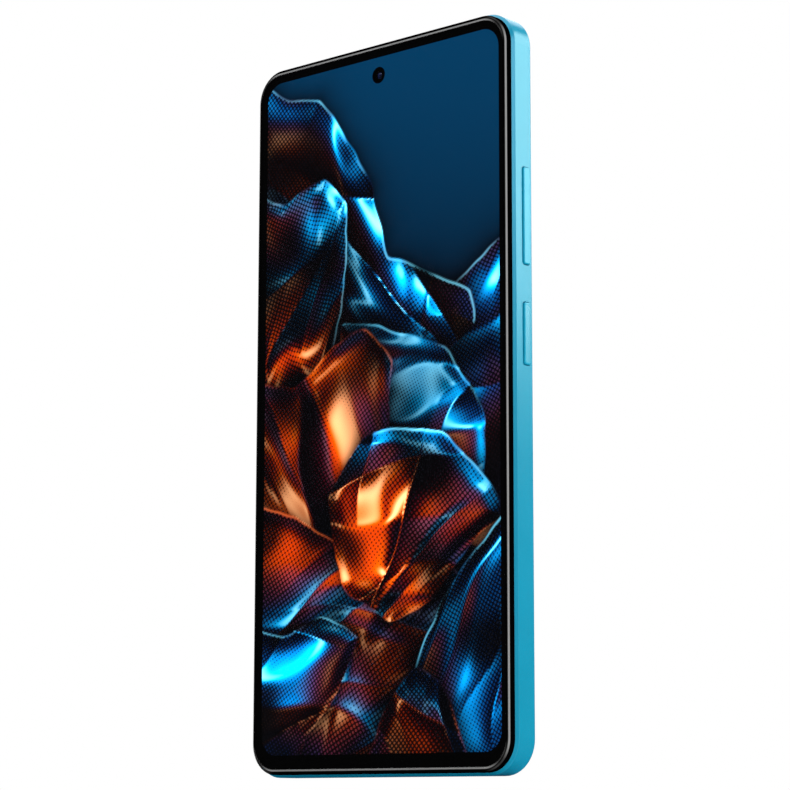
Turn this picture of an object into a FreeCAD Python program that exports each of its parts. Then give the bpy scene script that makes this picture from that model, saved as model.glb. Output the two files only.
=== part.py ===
"""Smartphone with a 6.67 inch flat display, built as separate pieces.

Frame of reference, in millimetres: the phone stands upright. +Z runs along its height from the
bottom edge, -Y is the side of the screen, +Y is the side of the rear cameras, and +X is the side
with the keys. The origin is the centre of the charging port's mouth, in the bottom edge.
"""

import FreeCAD, Part
import math
import os

Vector = FreeCAD.Vector
ALONG_X = Vector(1, 0, 0)
ALONG_Y = Vector(0, 1, 0)
ALONG_Z = Vector(0, 0, 1)

# Body outline
BODY_W = 76.0
BODY_H = 162.9
BODY_CORNER_R = 7.6

# Layers through the thickness, from the screen to the rear cameras
GLASS_FRONT_Y = -4.75
GLASS_BACK_Y = -4.15
FRAME_FRONT_Y = -3.08
PLATE_BACK_Y = -2.58
COVER_SEAT_Y = 2.25
COVER_INNER_Y = 2.45
FRAME_BACK_Y = 2.95
COVER_OUTER_Y = 3.25
ISLAND_BACK_Y = 4.15
LENS_RING_BACK_Y = 4.75

# Distances in from the body outline
GLASS_INSET = 0.8
TRIM_OUTER_INSET = 0.6
TRIM_INNER_INSET = 2.4
PLATE_INSET = 1.2
CAVITY_INSET = 2.0
COVER_INSET = 0.85

# Edge shapes
GLASS_EDGE_WIDTH = 1.0
GLASS_EDGE_DROP = 0.4
FRAME_CHAMFER = 0.6
FRAME_BACK_R = 0.45
COVER_EDGE_R = 0.5

# Display
ACTIVE_W = 69.52
ACTIVE_BOTTOM_Z = 4.85
ACTIVE_TOP_Z = 159.34
ACTIVE_CORNER_R = 4.5
PANEL_BORDER = 0.5
PANEL_FRONT_Y = -4.13
PANEL_BACK_Y = -3.55
BACKING_BACK_Y = -3.28

# Front camera
SELFIE_Z = 155.2
SELFIE_HOLE_R = 1.9
SELFIE_FACE_Y = -3.98
SELFIE_LEDGE_Y = -3.63
SELFIE_FLANGE_BACK_Y = -3.35
SELFIE_FLANGE_R = 1.3

# Earpiece
EARPIECE_SLOT_W = 15.6
EARPIECE_NOTCH = 0.4

# Keys in the right wall
KEY_Y = 0.8
KEY_W = 2.12
KEY_CORNER_R = 0.55
KEY_LIP = 0.1
KEY_GAP = 0.13
KEY_PROUD = 0.38
KEY_FLANGE_T = 0.4
POWER_Z = 92.2
POWER_LEN = 13.3
POWER_TRAVEL = 0.25
VOLUME_Z = 117.7
VOLUME_LEN = 21.1
VOLUME_PLUNGER_OFFSET = 7.5
VOLUME_SWING_DEG = 1.2
VOLUME_PIVOT_X = 36.2
VOLUME_PIVOT_R = 0.35
VOLUME_PIVOT_REACH = 1.32
KEY_FLEX_X = 34.3
KEY_FLEX_T = 0.4

# Charging port
USB_OPENING_W = 8.34
USB_OPENING_H = 2.56
USB_SHELL_T = 0.3
USB_DEPTH = 6.2
USB_SHELL_MOUTH_Z = 0.1

# SIM tray
SIM_X = -20.0
SIM_HEAD_W = 16.6
SIM_HEAD_H = 2.5
SIM_HEAD_GAP = 0.15
SIM_BODY_W = 14.0
SIM_BODY_T = 1.6
SIM_TIP_Z = 22.0
SIM_ROD_X = -10.6
SIM_PIVOT_X = -14.6
SIM_PIVOT_Z = 24.4

# Headphone jack
JACK_X = -24.0
JACK_BORE_R = 1.8
JACK_DEPTH = 14.0

# Top and bottom edge openings
IR_X = 12.0
IR_R = 1.1
TOP_MIC_X = 27.0
BOTTOM_MIC_X = -7.5
MIC_HOLE_R = 0.45
SPEAKER_HOLE_R = 0.55
SPEAKER_HOLE_COUNT = 8
SPEAKER_HOLE_PITCH = 2.0
SPEAKER_FIRST_X = 13.5

# Rear cameras, as centre x and z
ISLAND = (3.5, 33.5, 121.9, 156.9)
ISLAND_CORNER_R = 7.5
MAIN_AT = (25.0, 148.4)
ULTRAWIDE_AT = (25.0, 131.2)
MACRO_AT = (11.2, 131.6)
FLASH_AT = (11.2, 148.0)
FLASH_R = 2.6
RING_SEAT_Y = 3.75
MAIN_RING = (7.0, 5.2)
ULTRAWIDE_RING = (5.8, 4.2)
MACRO_RING = (3.8, 2.6)
MAIN_BARREL_R = 4.1

# Inside
BATTERY = (-32.4, 32.4, 27.5, 117.5)
MAIN_BOARD_Y = (-1.9, -1.1)
SUB_BOARD_Y = (-2.2, -1.6)
UPPER_BRACKET_Y = (0.9, 1.5)
LOWER_BRACKET_Y = (1.62, 2.12)
BOSS_R = 1.3
SCREW_R = 0.7
SCREW_HEAD_R = 1.25
SCREW_HEAD_H = 0.37
UPPER_SCREWS = [(-32.2, 128.0), (-32.2, 143.0), (-7.6, 124.0), (-7.6, 140.0), (-12.0, 148.3), (16.4, 152.8)]
LOWER_SCREWS = [(-31.0, 23.6), (-7.6, 22.5), (7.0, 12.0), (6.9, 22.8)]
SPEAKER_BOX = (9.0, 34.4, 2.6, 24.5)
LRA_BOX = (-34.4, -28.8, 8.0, 20.0)

PARTS_DIR = "parts"


def box(x0, x1, y0, y1, z0, z1):
    return Part.makeBox(x1 - x0, y1 - y0, z1 - z0, Vector(x0, y0, z0))


def disc(at, r, y0, y1):
    """Cylinder along Y at the (x, z) place."""
    return Part.makeCylinder(r, y1 - y0, Vector(at[0], y0, at[1]), ALONG_Y)


def post(x, y, r, z0, z1):
    """Cylinder along Z."""
    return Part.makeCylinder(r, z1 - z0, Vector(x, y, z0), ALONG_Z)


def stub(y, z, r, x0, x1):
    """Cylinder along X."""
    return Part.makeCylinder(r, x1 - x0, Vector(x0, y, z), ALONG_X)


def rounded_wire(x0, x1, z0, z1, r, y):
    """Rounded rectangle in the plane at depth y, as lines joined by tangent arcs."""
    corners = [(x1 - r, z0 + r, -90), (x1 - r, z1 - r, 0), (x0 + r, z1 - r, 90), (x0 + r, z0 + r, 180)]
    edges = []
    for i, (cx, cz, start) in enumerate(corners):
        points = [on_circle(cx, cz, r, start + turn, y) for turn in (0, 45, 90)]
        edges.append(Part.Arc(*points).toShape())
        nx, nz, next_start = corners[(i + 1) % 4]
        following = on_circle(nx, nz, r, next_start, y)
        if (following - points[2]).Length > 1e-6:
            edges.append(Part.LineSegment(points[2], following).toShape())
    return Part.Wire(edges)


def on_circle(cx, cz, r, degrees, y):
    turn = math.radians(degrees)
    return Vector(cx + r * math.cos(turn), y, cz + r * math.sin(turn))


def plate(x0, x1, z0, z1, r, y0, y1):
    """Flat plate with rounded corners, from depth y0 to y1."""
    face = Part.Face(rounded_wire(x0, x1, z0, z1, r, y0))
    return face.extrude(Vector(0, y1 - y0, 0))


def body_wire(inset, y):
    """The body's outline, moved in by inset."""
    half = BODY_W / 2 - inset
    return rounded_wire(-half, half, inset, BODY_H - inset, BODY_CORNER_R - inset, y)


def body_plate(inset, y0, y1):
    face = Part.Face(body_wire(inset, y0))
    return face.extrude(Vector(0, y1 - y0, 0))


def slot_along_z(x, y, width, height, z0, z1):
    """Bar along Z with a stadium section, wide along X."""
    r = height / 2
    reach = width / 2 - r
    bar = box(x - reach, x + reach, y - r, y + r, z0, z1)
    return bar.fuse([post(x - reach, y, r, z0, z1), post(x + reach, y, r, z0, z1)]).removeSplitter()


def key_outline(z, length, width, corner_r, x):
    """Rounded rectangle in the plane at x, long along Z and centred on a key."""
    reach_y = width / 2 - corner_r
    reach_z = length / 2 - corner_r
    arcs = []
    for turn, (side, end) in enumerate(((1, 1), (-1, 1), (-1, -1), (1, -1))):
        middle = Vector(x, KEY_Y + side * reach_y, z + end * reach_z)
        bends = [math.radians(90 * turn + angle) for angle in (0, 45, 90)]
        points = [middle + Vector(0, corner_r * math.cos(bend), corner_r * math.sin(bend)) for bend in bends]
        arcs.append(Part.Arc(*points).toShape())
    sides = []
    for i, arc in enumerate(arcs):
        start = arc.Vertexes[-1].Point
        end = arcs[(i + 1) % len(arcs)].Vertexes[0].Point
        sides.append(Part.makeLine(start, end))
    return Part.Wire([edge for pair in zip(arcs, sides) for edge in pair])


def key_block(z, length, width, corner_r, x0, x1):
    """Block along X with the outline of a key."""
    return Part.Face(key_outline(z, length, width, corner_r, x0)).extrude(Vector(x1 - x0, 0, 0))


def strip_along_x(points, x0, x1):
    """Thin folded strip, from its closed side profile of (y, z) points."""
    corners = [Vector(x0, y, z) for y, z in points]
    outline = Part.makePolygon(corners + corners[:1])
    return Part.Face(outline).extrude(Vector(x1 - x0, 0, 0))


def edges_at_y(shape, y, reach):
    """The shape's edges that lie at depth y and at least reach from the body's centre line."""
    found = []
    middle = Vector(0, y, BODY_H / 2)
    for edge in shape.Edges:
        bounds = edge.BoundBox
        flat = abs(bounds.YMin - y) < 1e-4 and abs(bounds.YMax - y) < 1e-4
        if flat and (edge.CenterOfMass - middle).Length > reach:
            found.append(edge)
    return found


def lined_up(first, count, pitch):
    return [first + pitch * i for i in range(count)]


def make_side_frame():
    """Ring round the whole phone, open for the keys and for the sockets in its two ends."""
    outer_reach = BODY_W / 2 - 1.5
    ring = body_plate(0, FRAME_FRONT_Y, FRAME_BACK_Y)
    ring = ring.makeChamfer(FRAME_CHAMFER, edges_at_y(ring, FRAME_FRONT_Y, outer_reach))
    ring = ring.makeFillet(FRAME_BACK_R, edges_at_y(ring, FRAME_BACK_Y, outer_reach))
    ring = ring.cut([
        body_plate(PLATE_INSET, FRAME_FRONT_Y, PLATE_BACK_Y),
        body_plate(CAVITY_INSET, PLATE_BACK_Y, COVER_SEAT_Y),
        body_plate(COVER_INSET - 0.05, COVER_SEAT_Y, FRAME_BACK_Y + 1),
    ])
    return ring.cut(key_openings() + bottom_openings() + top_openings())


def key_openings():
    """Openings for the keys, each with a narrow bevelled lip on the outside."""
    wall = (BODY_W / 2 - CAVITY_INSET - 1, BODY_W / 2 + 1)
    cuts = []
    for z, length in ((POWER_Z, POWER_LEN), (VOLUME_Z, VOLUME_LEN)):
        opening_l = length + 2 * KEY_GAP
        opening_w = KEY_W + 2 * KEY_GAP
        cuts.append(key_block(z, opening_l, opening_w, KEY_CORNER_R + KEY_GAP, *wall))
        cuts.append(key_lip(z, opening_l, opening_w))
    return cuts + volume_bearing()


def volume_bearing():
    """Notch, open to the inside, that the volume key's two pivots snap into."""
    gap = 0.05
    r = VOLUME_PIVOT_R + gap
    y0 = KEY_Y - VOLUME_PIVOT_REACH - gap
    y1 = KEY_Y + VOLUME_PIVOT_REACH + gap
    seat = disc((VOLUME_PIVOT_X, VOLUME_Z), r, y0, y1)
    mouth = box(VOLUME_PIVOT_X - 1, VOLUME_PIVOT_X, y0, y1, VOLUME_Z - r, VOLUME_Z + r)
    return [seat, mouth]


def key_lip(z, length, width):
    """Bevel between the opening and the outer wall, as a loft from a small outline to a larger one."""
    outer_x = BODY_W / 2
    corner_r = KEY_CORNER_R + KEY_GAP
    inner = key_outline(z, length, width, corner_r, outer_x - KEY_LIP)
    outer = key_outline(z, length + 2 * KEY_LIP, width + 2 * KEY_LIP, corner_r + KEY_LIP, outer_x)
    return Part.makeLoft([inner, outer], True, True)


def bottom_openings():
    below = -1.0
    inside = CAVITY_INSET + 1.0
    shell_w = USB_OPENING_W + 2 * USB_SHELL_T
    shell_h = USB_OPENING_H + 2 * USB_SHELL_T
    tray_w = SIM_HEAD_W + 2 * SIM_HEAD_GAP
    tray_h = SIM_HEAD_H + 2 * SIM_HEAD_GAP
    cuts = [
        slot_along_z(0, 0, shell_w + 0.16, shell_h + 0.16, below, inside),
        slot_along_z(SIM_X, 0, tray_w, tray_h, below, inside),
        post(SIM_ROD_X, 0, MIC_HOLE_R, below, inside),
        post(BOTTOM_MIC_X, 0, MIC_HOLE_R, below, inside),
    ]
    for x in lined_up(SPEAKER_FIRST_X, SPEAKER_HOLE_COUNT, SPEAKER_HOLE_PITCH):
        cuts.append(post(x, 0, SPEAKER_HOLE_R, below, inside))
    return cuts


def top_openings():
    inside = BODY_H - CAVITY_INSET - 1
    above = BODY_H + 1
    return [
        post(JACK_X, 0, JACK_BORE_R, inside, above),
        post(IR_X, 0, IR_R + 0.05, inside, above),
        post(TOP_MIC_X, 0, MIC_HOLE_R, inside, above),
    ]


def make_mid_plate():
    """Metal plate that carries the display on one side and the boards and battery on the other."""
    base = body_plate(PLATE_INSET, FRAME_FRONT_Y, PLATE_BACK_Y)
    base = base.cut([
        disc((0, SELFIE_Z), SELFIE_HOLE_R + 0.1, FRAME_FRONT_Y - 1, PLATE_BACK_Y + 1),
        plate(-6.5, 6.5, 159.9, 160.8, 0.4, FRAME_FRONT_Y - 1, PLATE_BACK_Y + 1),
    ])
    bosses = [disc(at, BOSS_R, PLATE_BACK_Y, UPPER_BRACKET_Y[0]) for at in UPPER_SCREWS]
    bosses += [disc(at, BOSS_R, PLATE_BACK_Y, LOWER_BRACKET_Y[0]) for at in LOWER_SCREWS]
    base = base.fuse(bosses)
    threads = [disc(at, SCREW_R, PLATE_BACK_Y + 0.3, COVER_SEAT_Y) for at in UPPER_SCREWS + LOWER_SCREWS]
    return base.cut(threads)


def make_rear_cover():
    cover = body_plate(COVER_INSET, COVER_INNER_Y, COVER_OUTER_Y)
    cover = cover.makeFillet(COVER_EDGE_R, edges_at_y(cover, COVER_OUTER_Y, BODY_W / 2 - 2))
    x0, x1, z0, z1 = ISLAND
    return cover.cut(plate(x0, x1, z0, z1, ISLAND_CORNER_R, COVER_INNER_Y - 1, COVER_OUTER_Y + 1))


def make_rear_cover_adhesive():
    ring = body_plate(COVER_INSET + 0.15, COVER_SEAT_Y, COVER_INNER_Y)
    return ring.cut(body_plate(CAVITY_INSET - 0.1, COVER_SEAT_Y - 1, COVER_INNER_Y + 1))


def make_cover_glass():
    """Front glass whose rim curves back in one arc, with the earpiece notch in its top edge."""
    glass = body_plate(GLASS_INSET, GLASS_FRONT_Y, GLASS_BACK_Y)
    glass = glass.cut(glass_rim_tool())
    half = EARPIECE_SLOT_W / 2
    top = BODY_H - GLASS_INSET
    notch = plate(-half, half, top - EARPIECE_NOTCH, top + 2, 0.35, GLASS_FRONT_Y - 1, GLASS_BACK_Y + 1)
    return glass.cut(notch)


def glass_rim_tool():
    """Ring swept round the outline: everything outside the rim's arc."""
    outer_x = BODY_W / 2 - GLASS_INSET
    inner_x = outer_x - GLASS_EDGE_WIDTH
    rim_r = (GLASS_EDGE_WIDTH ** 2 + GLASS_EDGE_DROP ** 2) / (2 * GLASS_EDGE_DROP)
    half_turn = math.asin(GLASS_EDGE_WIDTH / rim_r) / 2
    level = BODY_H / 2
    start = Vector(inner_x, GLASS_FRONT_Y, level)
    middle = Vector(
        inner_x + rim_r * math.sin(half_turn),
        GLASS_FRONT_Y + rim_r * (1 - math.cos(half_turn)),
        level,
    )
    end = Vector(outer_x, GLASS_FRONT_Y + GLASS_EDGE_DROP, level)
    spare = 0.5
    corners = [end, end + Vector(spare, 0, 0), start + Vector(GLASS_EDGE_WIDTH + spare, -spare, 0),
               start + Vector(0, -spare, 0), start]
    edges = [Part.Arc(start, middle, end).toShape()]
    for a, b in zip(corners, corners[1:]):
        edges.append(Part.LineSegment(a, b).toShape())
    spine = rounded_spine(outer_x, level)
    return spine.makePipeShell([Part.Wire(edges)], True, False)


def rounded_spine(half, level):
    """The glass outline as a closed path that starts at the middle of its right side."""
    r = BODY_CORNER_R - GLASS_INSET
    side = half - r
    low = GLASS_INSET + r
    high = BODY_H - GLASS_INSET - r
    y = GLASS_FRONT_Y
    corners = [(side, high, 0), (-side, high, 90), (-side, low, 180), (side, low, 270)]
    edges = []
    last = Vector(half, y, level)
    first = last
    for cx, cz, start in corners:
        points = [on_circle(cx, cz, r, start + turn, y) for turn in (0, 45, 90)]
        edges.append(Part.LineSegment(last, points[0]).toShape())
        edges.append(Part.Arc(*points).toShape())
        last = points[2]
    edges.append(Part.LineSegment(last, first).toShape())
    return Part.Wire(edges)


def make_display_trim_ring():
    """Black moulded ring under the glass rim, with the earpiece's sound channel."""
    ring = body_plate(TRIM_OUTER_INSET, GLASS_BACK_Y, FRAME_FRONT_Y)
    ring = ring.cut(body_plate(TRIM_INNER_INSET, GLASS_BACK_Y - 1, FRAME_FRONT_Y + 1))
    half = EARPIECE_SLOT_W / 2 - 0.4
    low = BODY_H - TRIM_INNER_INSET - 0.1
    high = BODY_H - 1.0
    return ring.cut(box(-half, half, GLASS_BACK_Y - 1, FRAME_FRONT_Y + 1, low, high))


def panel_plate(border, y0, y1):
    half = ACTIVE_W / 2 + border
    z0 = ACTIVE_BOTTOM_Z - border
    z1 = ACTIVE_TOP_Z + border
    return plate(-half, half, z0, z1, ACTIVE_CORNER_R + border, y0, y1)


def make_oled_panel():
    panel = panel_plate(PANEL_BORDER, PANEL_FRONT_Y, PANEL_BACK_Y)
    return panel.cut(disc((0, SELFIE_Z), SELFIE_HOLE_R, PANEL_FRONT_Y - 1, PANEL_BACK_Y + 1))


def make_display_backing():
    backing = panel_plate(0.1, PANEL_BACK_Y, BACKING_BACK_Y)
    return backing.cut(disc((0, SELFIE_Z), SELFIE_HOLE_R + 0.2, PANEL_BACK_Y - 1, BACKING_BACK_Y + 1))


def make_display_flex():
    """Driver circuit folded behind the lower end of the panel, with its driver chip."""
    circuit = plate(-26, 26, 6.0, 13.0, 1.0, BACKING_BACK_Y, BACKING_BACK_Y + 0.1)
    tail = plate(-9, 9, 10.0, 27.0, 1.0, BACKING_BACK_Y, BACKING_BACK_Y + 0.1)
    chip = box(-12, 12, BACKING_BACK_Y, BACKING_BACK_Y + 0.16, 8.6, 10.2)
    return circuit.fuse([tail, chip]).removeSplitter()


def make_front_camera():
    """Camera can with the black barrel that fills the hole in the panel."""
    half = 2.4
    can = plate(-half, half, SELFIE_Z - half, SELFIE_Z + half, 0.4, -2.5, -0.4)
    barrel = disc((0, SELFIE_Z), SELFIE_HOLE_R - 0.1, SELFIE_FACE_Y, -2.5)
    depth = SELFIE_LEDGE_Y - SELFIE_FACE_Y
    mouth = Part.makeCone(0.95, 0.75, depth, Vector(0, SELFIE_FACE_Y, SELFIE_Z), ALONG_Y)
    return can.fuse(barrel).removeSplitter().cut([mouth, lens_flange()])


def lens_flange():
    return disc((0, SELFIE_Z), SELFIE_FLANGE_R, SELFIE_LEDGE_Y, SELFIE_FLANGE_BACK_Y)


def make_front_camera_lens():
    """Small domed lens in the barrel's mouth, held by the flange behind it."""
    dome_r = 1.0
    lens_r = 0.7
    front_y = SELFIE_FACE_Y + 0.05
    ball = Part.makeSphere(dome_r, Vector(0, front_y + dome_r, SELFIE_Z))
    dome = ball.common(disc((0, SELFIE_Z), lens_r, front_y - 0.1, SELFIE_LEDGE_Y))
    return dome.fuse(lens_flange()).removeSplitter()


def make_front_camera_gasket():
    ring = disc((0, SELFIE_Z), 3.0, BACKING_BACK_Y, FRAME_FRONT_Y)
    return ring.cut(disc((0, SELFIE_Z), SELFIE_HOLE_R + 0.15, -4, -3))


def make_earpiece_speaker():
    """Receiver housing, open towards the screen side over its diaphragm."""
    housing = plate(-7.2, 7.2, 157.8, 160.7, 0.5, -2.5, -0.4)
    return housing.cut(plate(-6.6, 6.6, 158.2, 160.3, 0.4, -3, -1.5))


def make_earpiece_diaphragm():
    flat = plate(-6.4, 6.4, 158.4, 160.1, 0.4, -2.2, -2.05)
    coil = box(-4, 4, -2.05, -1.75, 158.8, 159.7)
    return flat.fuse(coil)


def make_earpiece_mesh():
    half = EARPIECE_SLOT_W / 2 - 0.5
    return box(-half, half, -3.98, -3.83, 161.0, 161.8)


def make_camera_island():
    x0, x1, z0, z1 = ISLAND
    gap = 0.05
    outline = (x0 + gap, x1 - gap, z0 + gap, z1 - gap, ISLAND_CORNER_R - gap)
    island = plate(*outline, COVER_INNER_Y, ISLAND_BACK_Y)
    outer_edges = [edge for edge in island.Edges if abs(edge.BoundBox.YMin - ISLAND_BACK_Y) < 1e-4]
    island = island.makeFillet(0.45, outer_edges)
    cuts = [disc(FLASH_AT, FLASH_R, COVER_INNER_Y - 1, ISLAND_BACK_Y + 1)]
    for at, (outer_r, inner_r) in lens_places():
        cuts.append(disc(at, inner_r, COVER_INNER_Y - 1, ISLAND_BACK_Y + 1))
        cuts.append(disc(at, outer_r, RING_SEAT_Y, ISLAND_BACK_Y + 1))
    return island.cut(cuts)


def lens_places():
    return ((MAIN_AT, MAIN_RING), (ULTRAWIDE_AT, ULTRAWIDE_RING), (MACRO_AT, MACRO_RING))


def make_lens_ring(at, radii, back_y):
    """Metal ring with a bevelled inner edge that holds a lens window."""
    outer_r, inner_r = radii
    ring = disc(at, outer_r, RING_SEAT_Y, back_y)
    outer_edges = [edge for edge in ring.Edges if abs(edge.BoundBox.YMin - back_y) < 1e-4]
    ring = ring.makeFillet(0.25, outer_edges)
    bevel = Part.makeCone(inner_r, inner_r + 0.5, 0.35, Vector(at[0], back_y - 0.35, at[1]), ALONG_Y)
    return ring.cut([disc(at, inner_r, RING_SEAT_Y - 1, back_y + 1), bevel])


def make_lens_window(at, radii, back_y):
    window_back = back_y - 0.35
    return disc(at, radii[1], window_back - 0.35, window_back)


def make_flash_window():
    return disc(FLASH_AT, FLASH_R, RING_SEAT_Y, ISLAND_BACK_Y)


def make_flash_led():
    base = disc(FLASH_AT, 2.2, 2.6, 2.9)
    x, z = FLASH_AT
    chips = [box(x + dx - 0.6, x + dx + 0.6, 2.9, 3.3, z - 0.7, z + 0.7) for dx in (-0.8, 0.8)]
    return base.fuse(chips)


def camera_can(at, half, y0, y1):
    x, z = at
    return plate(x - half, x + half, z - half, z + half, 0.5, y0, y1)


def make_main_camera():
    """Can of the main camera, bored for the focusing barrel, on its sensor board."""
    board = camera_can(MAIN_AT, 6.0, -2.4, -1.8)
    can = camera_can(MAIN_AT, 5.75, -1.8, 2.4)
    return board.fuse(can).cut(disc(MAIN_AT, MAIN_BARREL_R + 0.15, -1.0, 3))


def make_main_camera_barrel():
    """Lens barrel that the focusing coil moves along its own axis."""
    barrel = disc(MAIN_AT, MAIN_BARREL_R, -0.7, 3.3)
    mouth = Part.makeCone(2.3, 3.5, 0.8, Vector(MAIN_AT[0], 2.5, MAIN_AT[1]), ALONG_Y)
    light_path = disc(MAIN_AT, 2.2, -1, 1.6)
    return barrel.cut([mouth, light_path])


def make_fixed_camera(at, half, y0, can_back_y, barrel_r, barrel_back_y):
    x, z = at
    depth = 0.5
    can = camera_can(at, half, y0, can_back_y)
    barrel = disc(at, barrel_r, can_back_y, barrel_back_y)
    mouth_at = Vector(x, barrel_back_y - depth, z)
    mouth = Part.makeCone(barrel_r * 0.45, barrel_r * 0.8, depth, mouth_at, ALONG_Y)
    return can.fuse(barrel).cut(mouth)


def make_key(z, length, flange_outer_x, plunger_offsets, plunger_gap):
    """Key with a flange that keeps it in the wall and a plunger over each switch dome."""
    face_x = BODY_W / 2 + KEY_PROUD
    flange_x = flange_outer_x - KEY_FLANGE_T
    flange_w = KEY_W + 1.0
    stem = key_block(z, length, KEY_W, KEY_CORNER_R, flange_outer_x, face_x)
    rim = [edge for edge in stem.Edges if edge.BoundBox.XMin > face_x - 1e-4]
    stem = stem.makeFillet(0.25, rim)
    flange = key_block(z, length + 1.6, flange_w, 0.48 * flange_w, flange_x, flange_outer_x)
    dome_top_x = KEY_FLEX_X + 0.38
    plungers = [stub(KEY_Y, z + dz, 0.6, dome_top_x + plunger_gap, flange_x) for dz in plunger_offsets]
    return stem.fuse([flange] + plungers).removeSplitter()


def make_power_button():
    """Power key, hollowed from the outside for the fingerprint sensor."""
    key = make_key(POWER_Z, POWER_LEN, BODY_W / 2 - CAVITY_INSET - 0.05, (0.0,), POWER_TRAVEL + 0.03)
    return key.cut(sensor_pad(0.0))


def sensor_pad(gap):
    face_x = BODY_W / 2 + KEY_PROUD
    length = POWER_LEN - 1.1 - 2 * gap
    width = KEY_W - 0.9 - 2 * gap
    return key_block(POWER_Z, length, width, 0.48 * width, face_x - 0.5 + gap, face_x - gap)


def make_fingerprint_sensor():
    return sensor_pad(0.02)


def make_volume_rocker():
    """Volume key that tips on a pivot at the middle of each long side."""
    offsets = (-VOLUME_PLUNGER_OFFSET, VOLUME_PLUNGER_OFFSET)
    travel = VOLUME_PLUNGER_OFFSET * math.sin(math.radians(VOLUME_SWING_DEG))
    key = make_key(VOLUME_Z, VOLUME_LEN, BODY_W / 2 - CAVITY_INSET - 0.32, offsets, travel + 0.04)
    pivot_at = (VOLUME_PIVOT_X, VOLUME_Z)
    pivot = disc(pivot_at, VOLUME_PIVOT_R, KEY_Y - VOLUME_PIVOT_REACH, KEY_Y + VOLUME_PIVOT_REACH)
    return key.fuse(pivot).removeSplitter()


def make_side_key_flex():
    """Stiffened circuit behind the keys, with one switch dome under each plunger."""
    strip = plate_yz(KEY_Y, POWER_Z - 8, VOLUME_Z + 12, 3.0)
    domes = []
    for z in (POWER_Z, VOLUME_Z - VOLUME_PLUNGER_OFFSET, VOLUME_Z + VOLUME_PLUNGER_OFFSET):
        domes.append(Part.makeCone(1.3, 0.6, 0.38, Vector(KEY_FLEX_X, KEY_Y, z), ALONG_X))
    return strip.fuse(domes)


def plate_yz(y, z0, z1, width):
    return box(KEY_FLEX_X - KEY_FLEX_T, KEY_FLEX_X, y - width / 2, y + width / 2, z0, z1)


def make_sim_tray():
    """Two-sided tray: a head flush with the bottom edge and a frame for one card on each side."""
    head = slot_along_z(SIM_X, 0, SIM_HEAD_W, SIM_HEAD_H, 0.0, CAVITY_INSET)
    half = SIM_BODY_W / 2
    half_t = SIM_BODY_T / 2
    body = box(SIM_X - half, SIM_X + half, -half_t, half_t, CAVITY_INSET, SIM_TIP_Z)
    card = box(SIM_X - 6.2, SIM_X + 4.4, -2, -0.1, 5.0, 20.5)
    second_card = card.mirror(Vector(0, 0, 0), ALONG_Y)
    windows = [card, second_card, box(SIM_X - 4.6, SIM_X + 2.8, -2, 2, 6.6, 18.9)]
    tray = head.fuse(body).removeSplitter().cut(windows)
    return tray.cut(seal_ring(SIM_HEAD_W + 1, SIM_HEAD_H + 1))


def seal_ring(outer_w, outer_h):
    ring = slot_along_z(SIM_X, 0, outer_w, outer_h, 1.0, 1.5)
    return ring.cut(slot_along_z(SIM_X, 0, SIM_HEAD_W - 0.7, SIM_HEAD_H - 0.7, 0.5, 2.0))


def make_sim_tray_seal():
    return seal_ring(SIM_HEAD_W + 0.16, SIM_HEAD_H + 0.16)


def make_sim_socket():
    """Sheet metal cage on the lower board that guides the tray, with the lever's bearing tab."""
    cage = box(SIM_X - 7.6, SIM_X + 7.6, SUB_BOARD_Y[1], 1.4, 2.6, 22.6)
    tab = box(SIM_PIVOT_X - 1.6, SIM_PIVOT_X + 1.6, 1.0, 1.4, 22.6, 26.0)
    cage = cage.fuse(tab).removeSplitter()
    room = box(SIM_X - 7.2, SIM_X + 7.2, -1.0, 1.0, 2, 23)
    pin_hole = disc((SIM_PIVOT_X, SIM_PIVOT_Z), 0.4, 0, 2)
    return cage.cut([room, pin_hole])


def make_sim_eject_rod():
    """Rod that the eject pin pushes, with a rounded end under the lever."""
    rod = box(SIM_ROD_X - 0.5, SIM_ROD_X + 0.5, -0.5, 0.5, 2.6, 22.8)
    tip = Part.makeCylinder(0.5, 1.0, Vector(SIM_ROD_X, -0.5, 22.8), ALONG_Y)
    return rod.fuse(tip).removeSplitter()


def make_sim_eject_lever():
    """Two-armed lever: the rod lifts its right arm and its left arm pushes the tray out."""
    arm = box(-19.8, -10.2, -0.4, 0.4, 23.6, 25.2)
    nose = box(-19.8, -18.9, -0.4, 0.4, 22.2, 23.6)
    hub = disc((SIM_PIVOT_X, SIM_PIVOT_Z), 1.3, -0.4, 0.4)
    lever = arm.fuse([nose, hub]).removeSplitter()
    return lever.cut(disc((SIM_PIVOT_X, SIM_PIVOT_Z), 0.45, -1, 1))


def make_sim_lever_pin():
    shank = disc((SIM_PIVOT_X, SIM_PIVOT_Z), 0.4, -0.6, 1.4)
    head = disc((SIM_PIVOT_X, SIM_PIVOT_Z), 0.9, -0.9, -0.6)
    return shank.fuse(head).removeSplitter()


def make_usb_c_shell():
    """Seamless receptacle shell, open at the mouth and closed behind the tongue."""
    back_z = USB_DEPTH + 1.2
    outer = slot_along_z(0, 0, USB_OPENING_W + 2 * USB_SHELL_T, USB_OPENING_H + 2 * USB_SHELL_T,
                         USB_SHELL_MOUTH_Z, back_z)
    room = slot_along_z(0, 0, USB_OPENING_W, USB_OPENING_H, USB_SHELL_MOUTH_Z - 1, back_z - 0.3)
    return outer.cut(room)


def make_usb_c_tongue():
    """Insulated contact tongue on the block that closes the shell's inner end."""
    block = slot_along_z(0, 0, USB_OPENING_W - 0.02, USB_OPENING_H - 0.02, USB_DEPTH, USB_DEPTH + 0.88)
    tongue = box(-3.35, 3.35, -0.35, 0.35, 1.25, USB_DEPTH)
    return block.fuse(tongue).removeSplitter()


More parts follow.
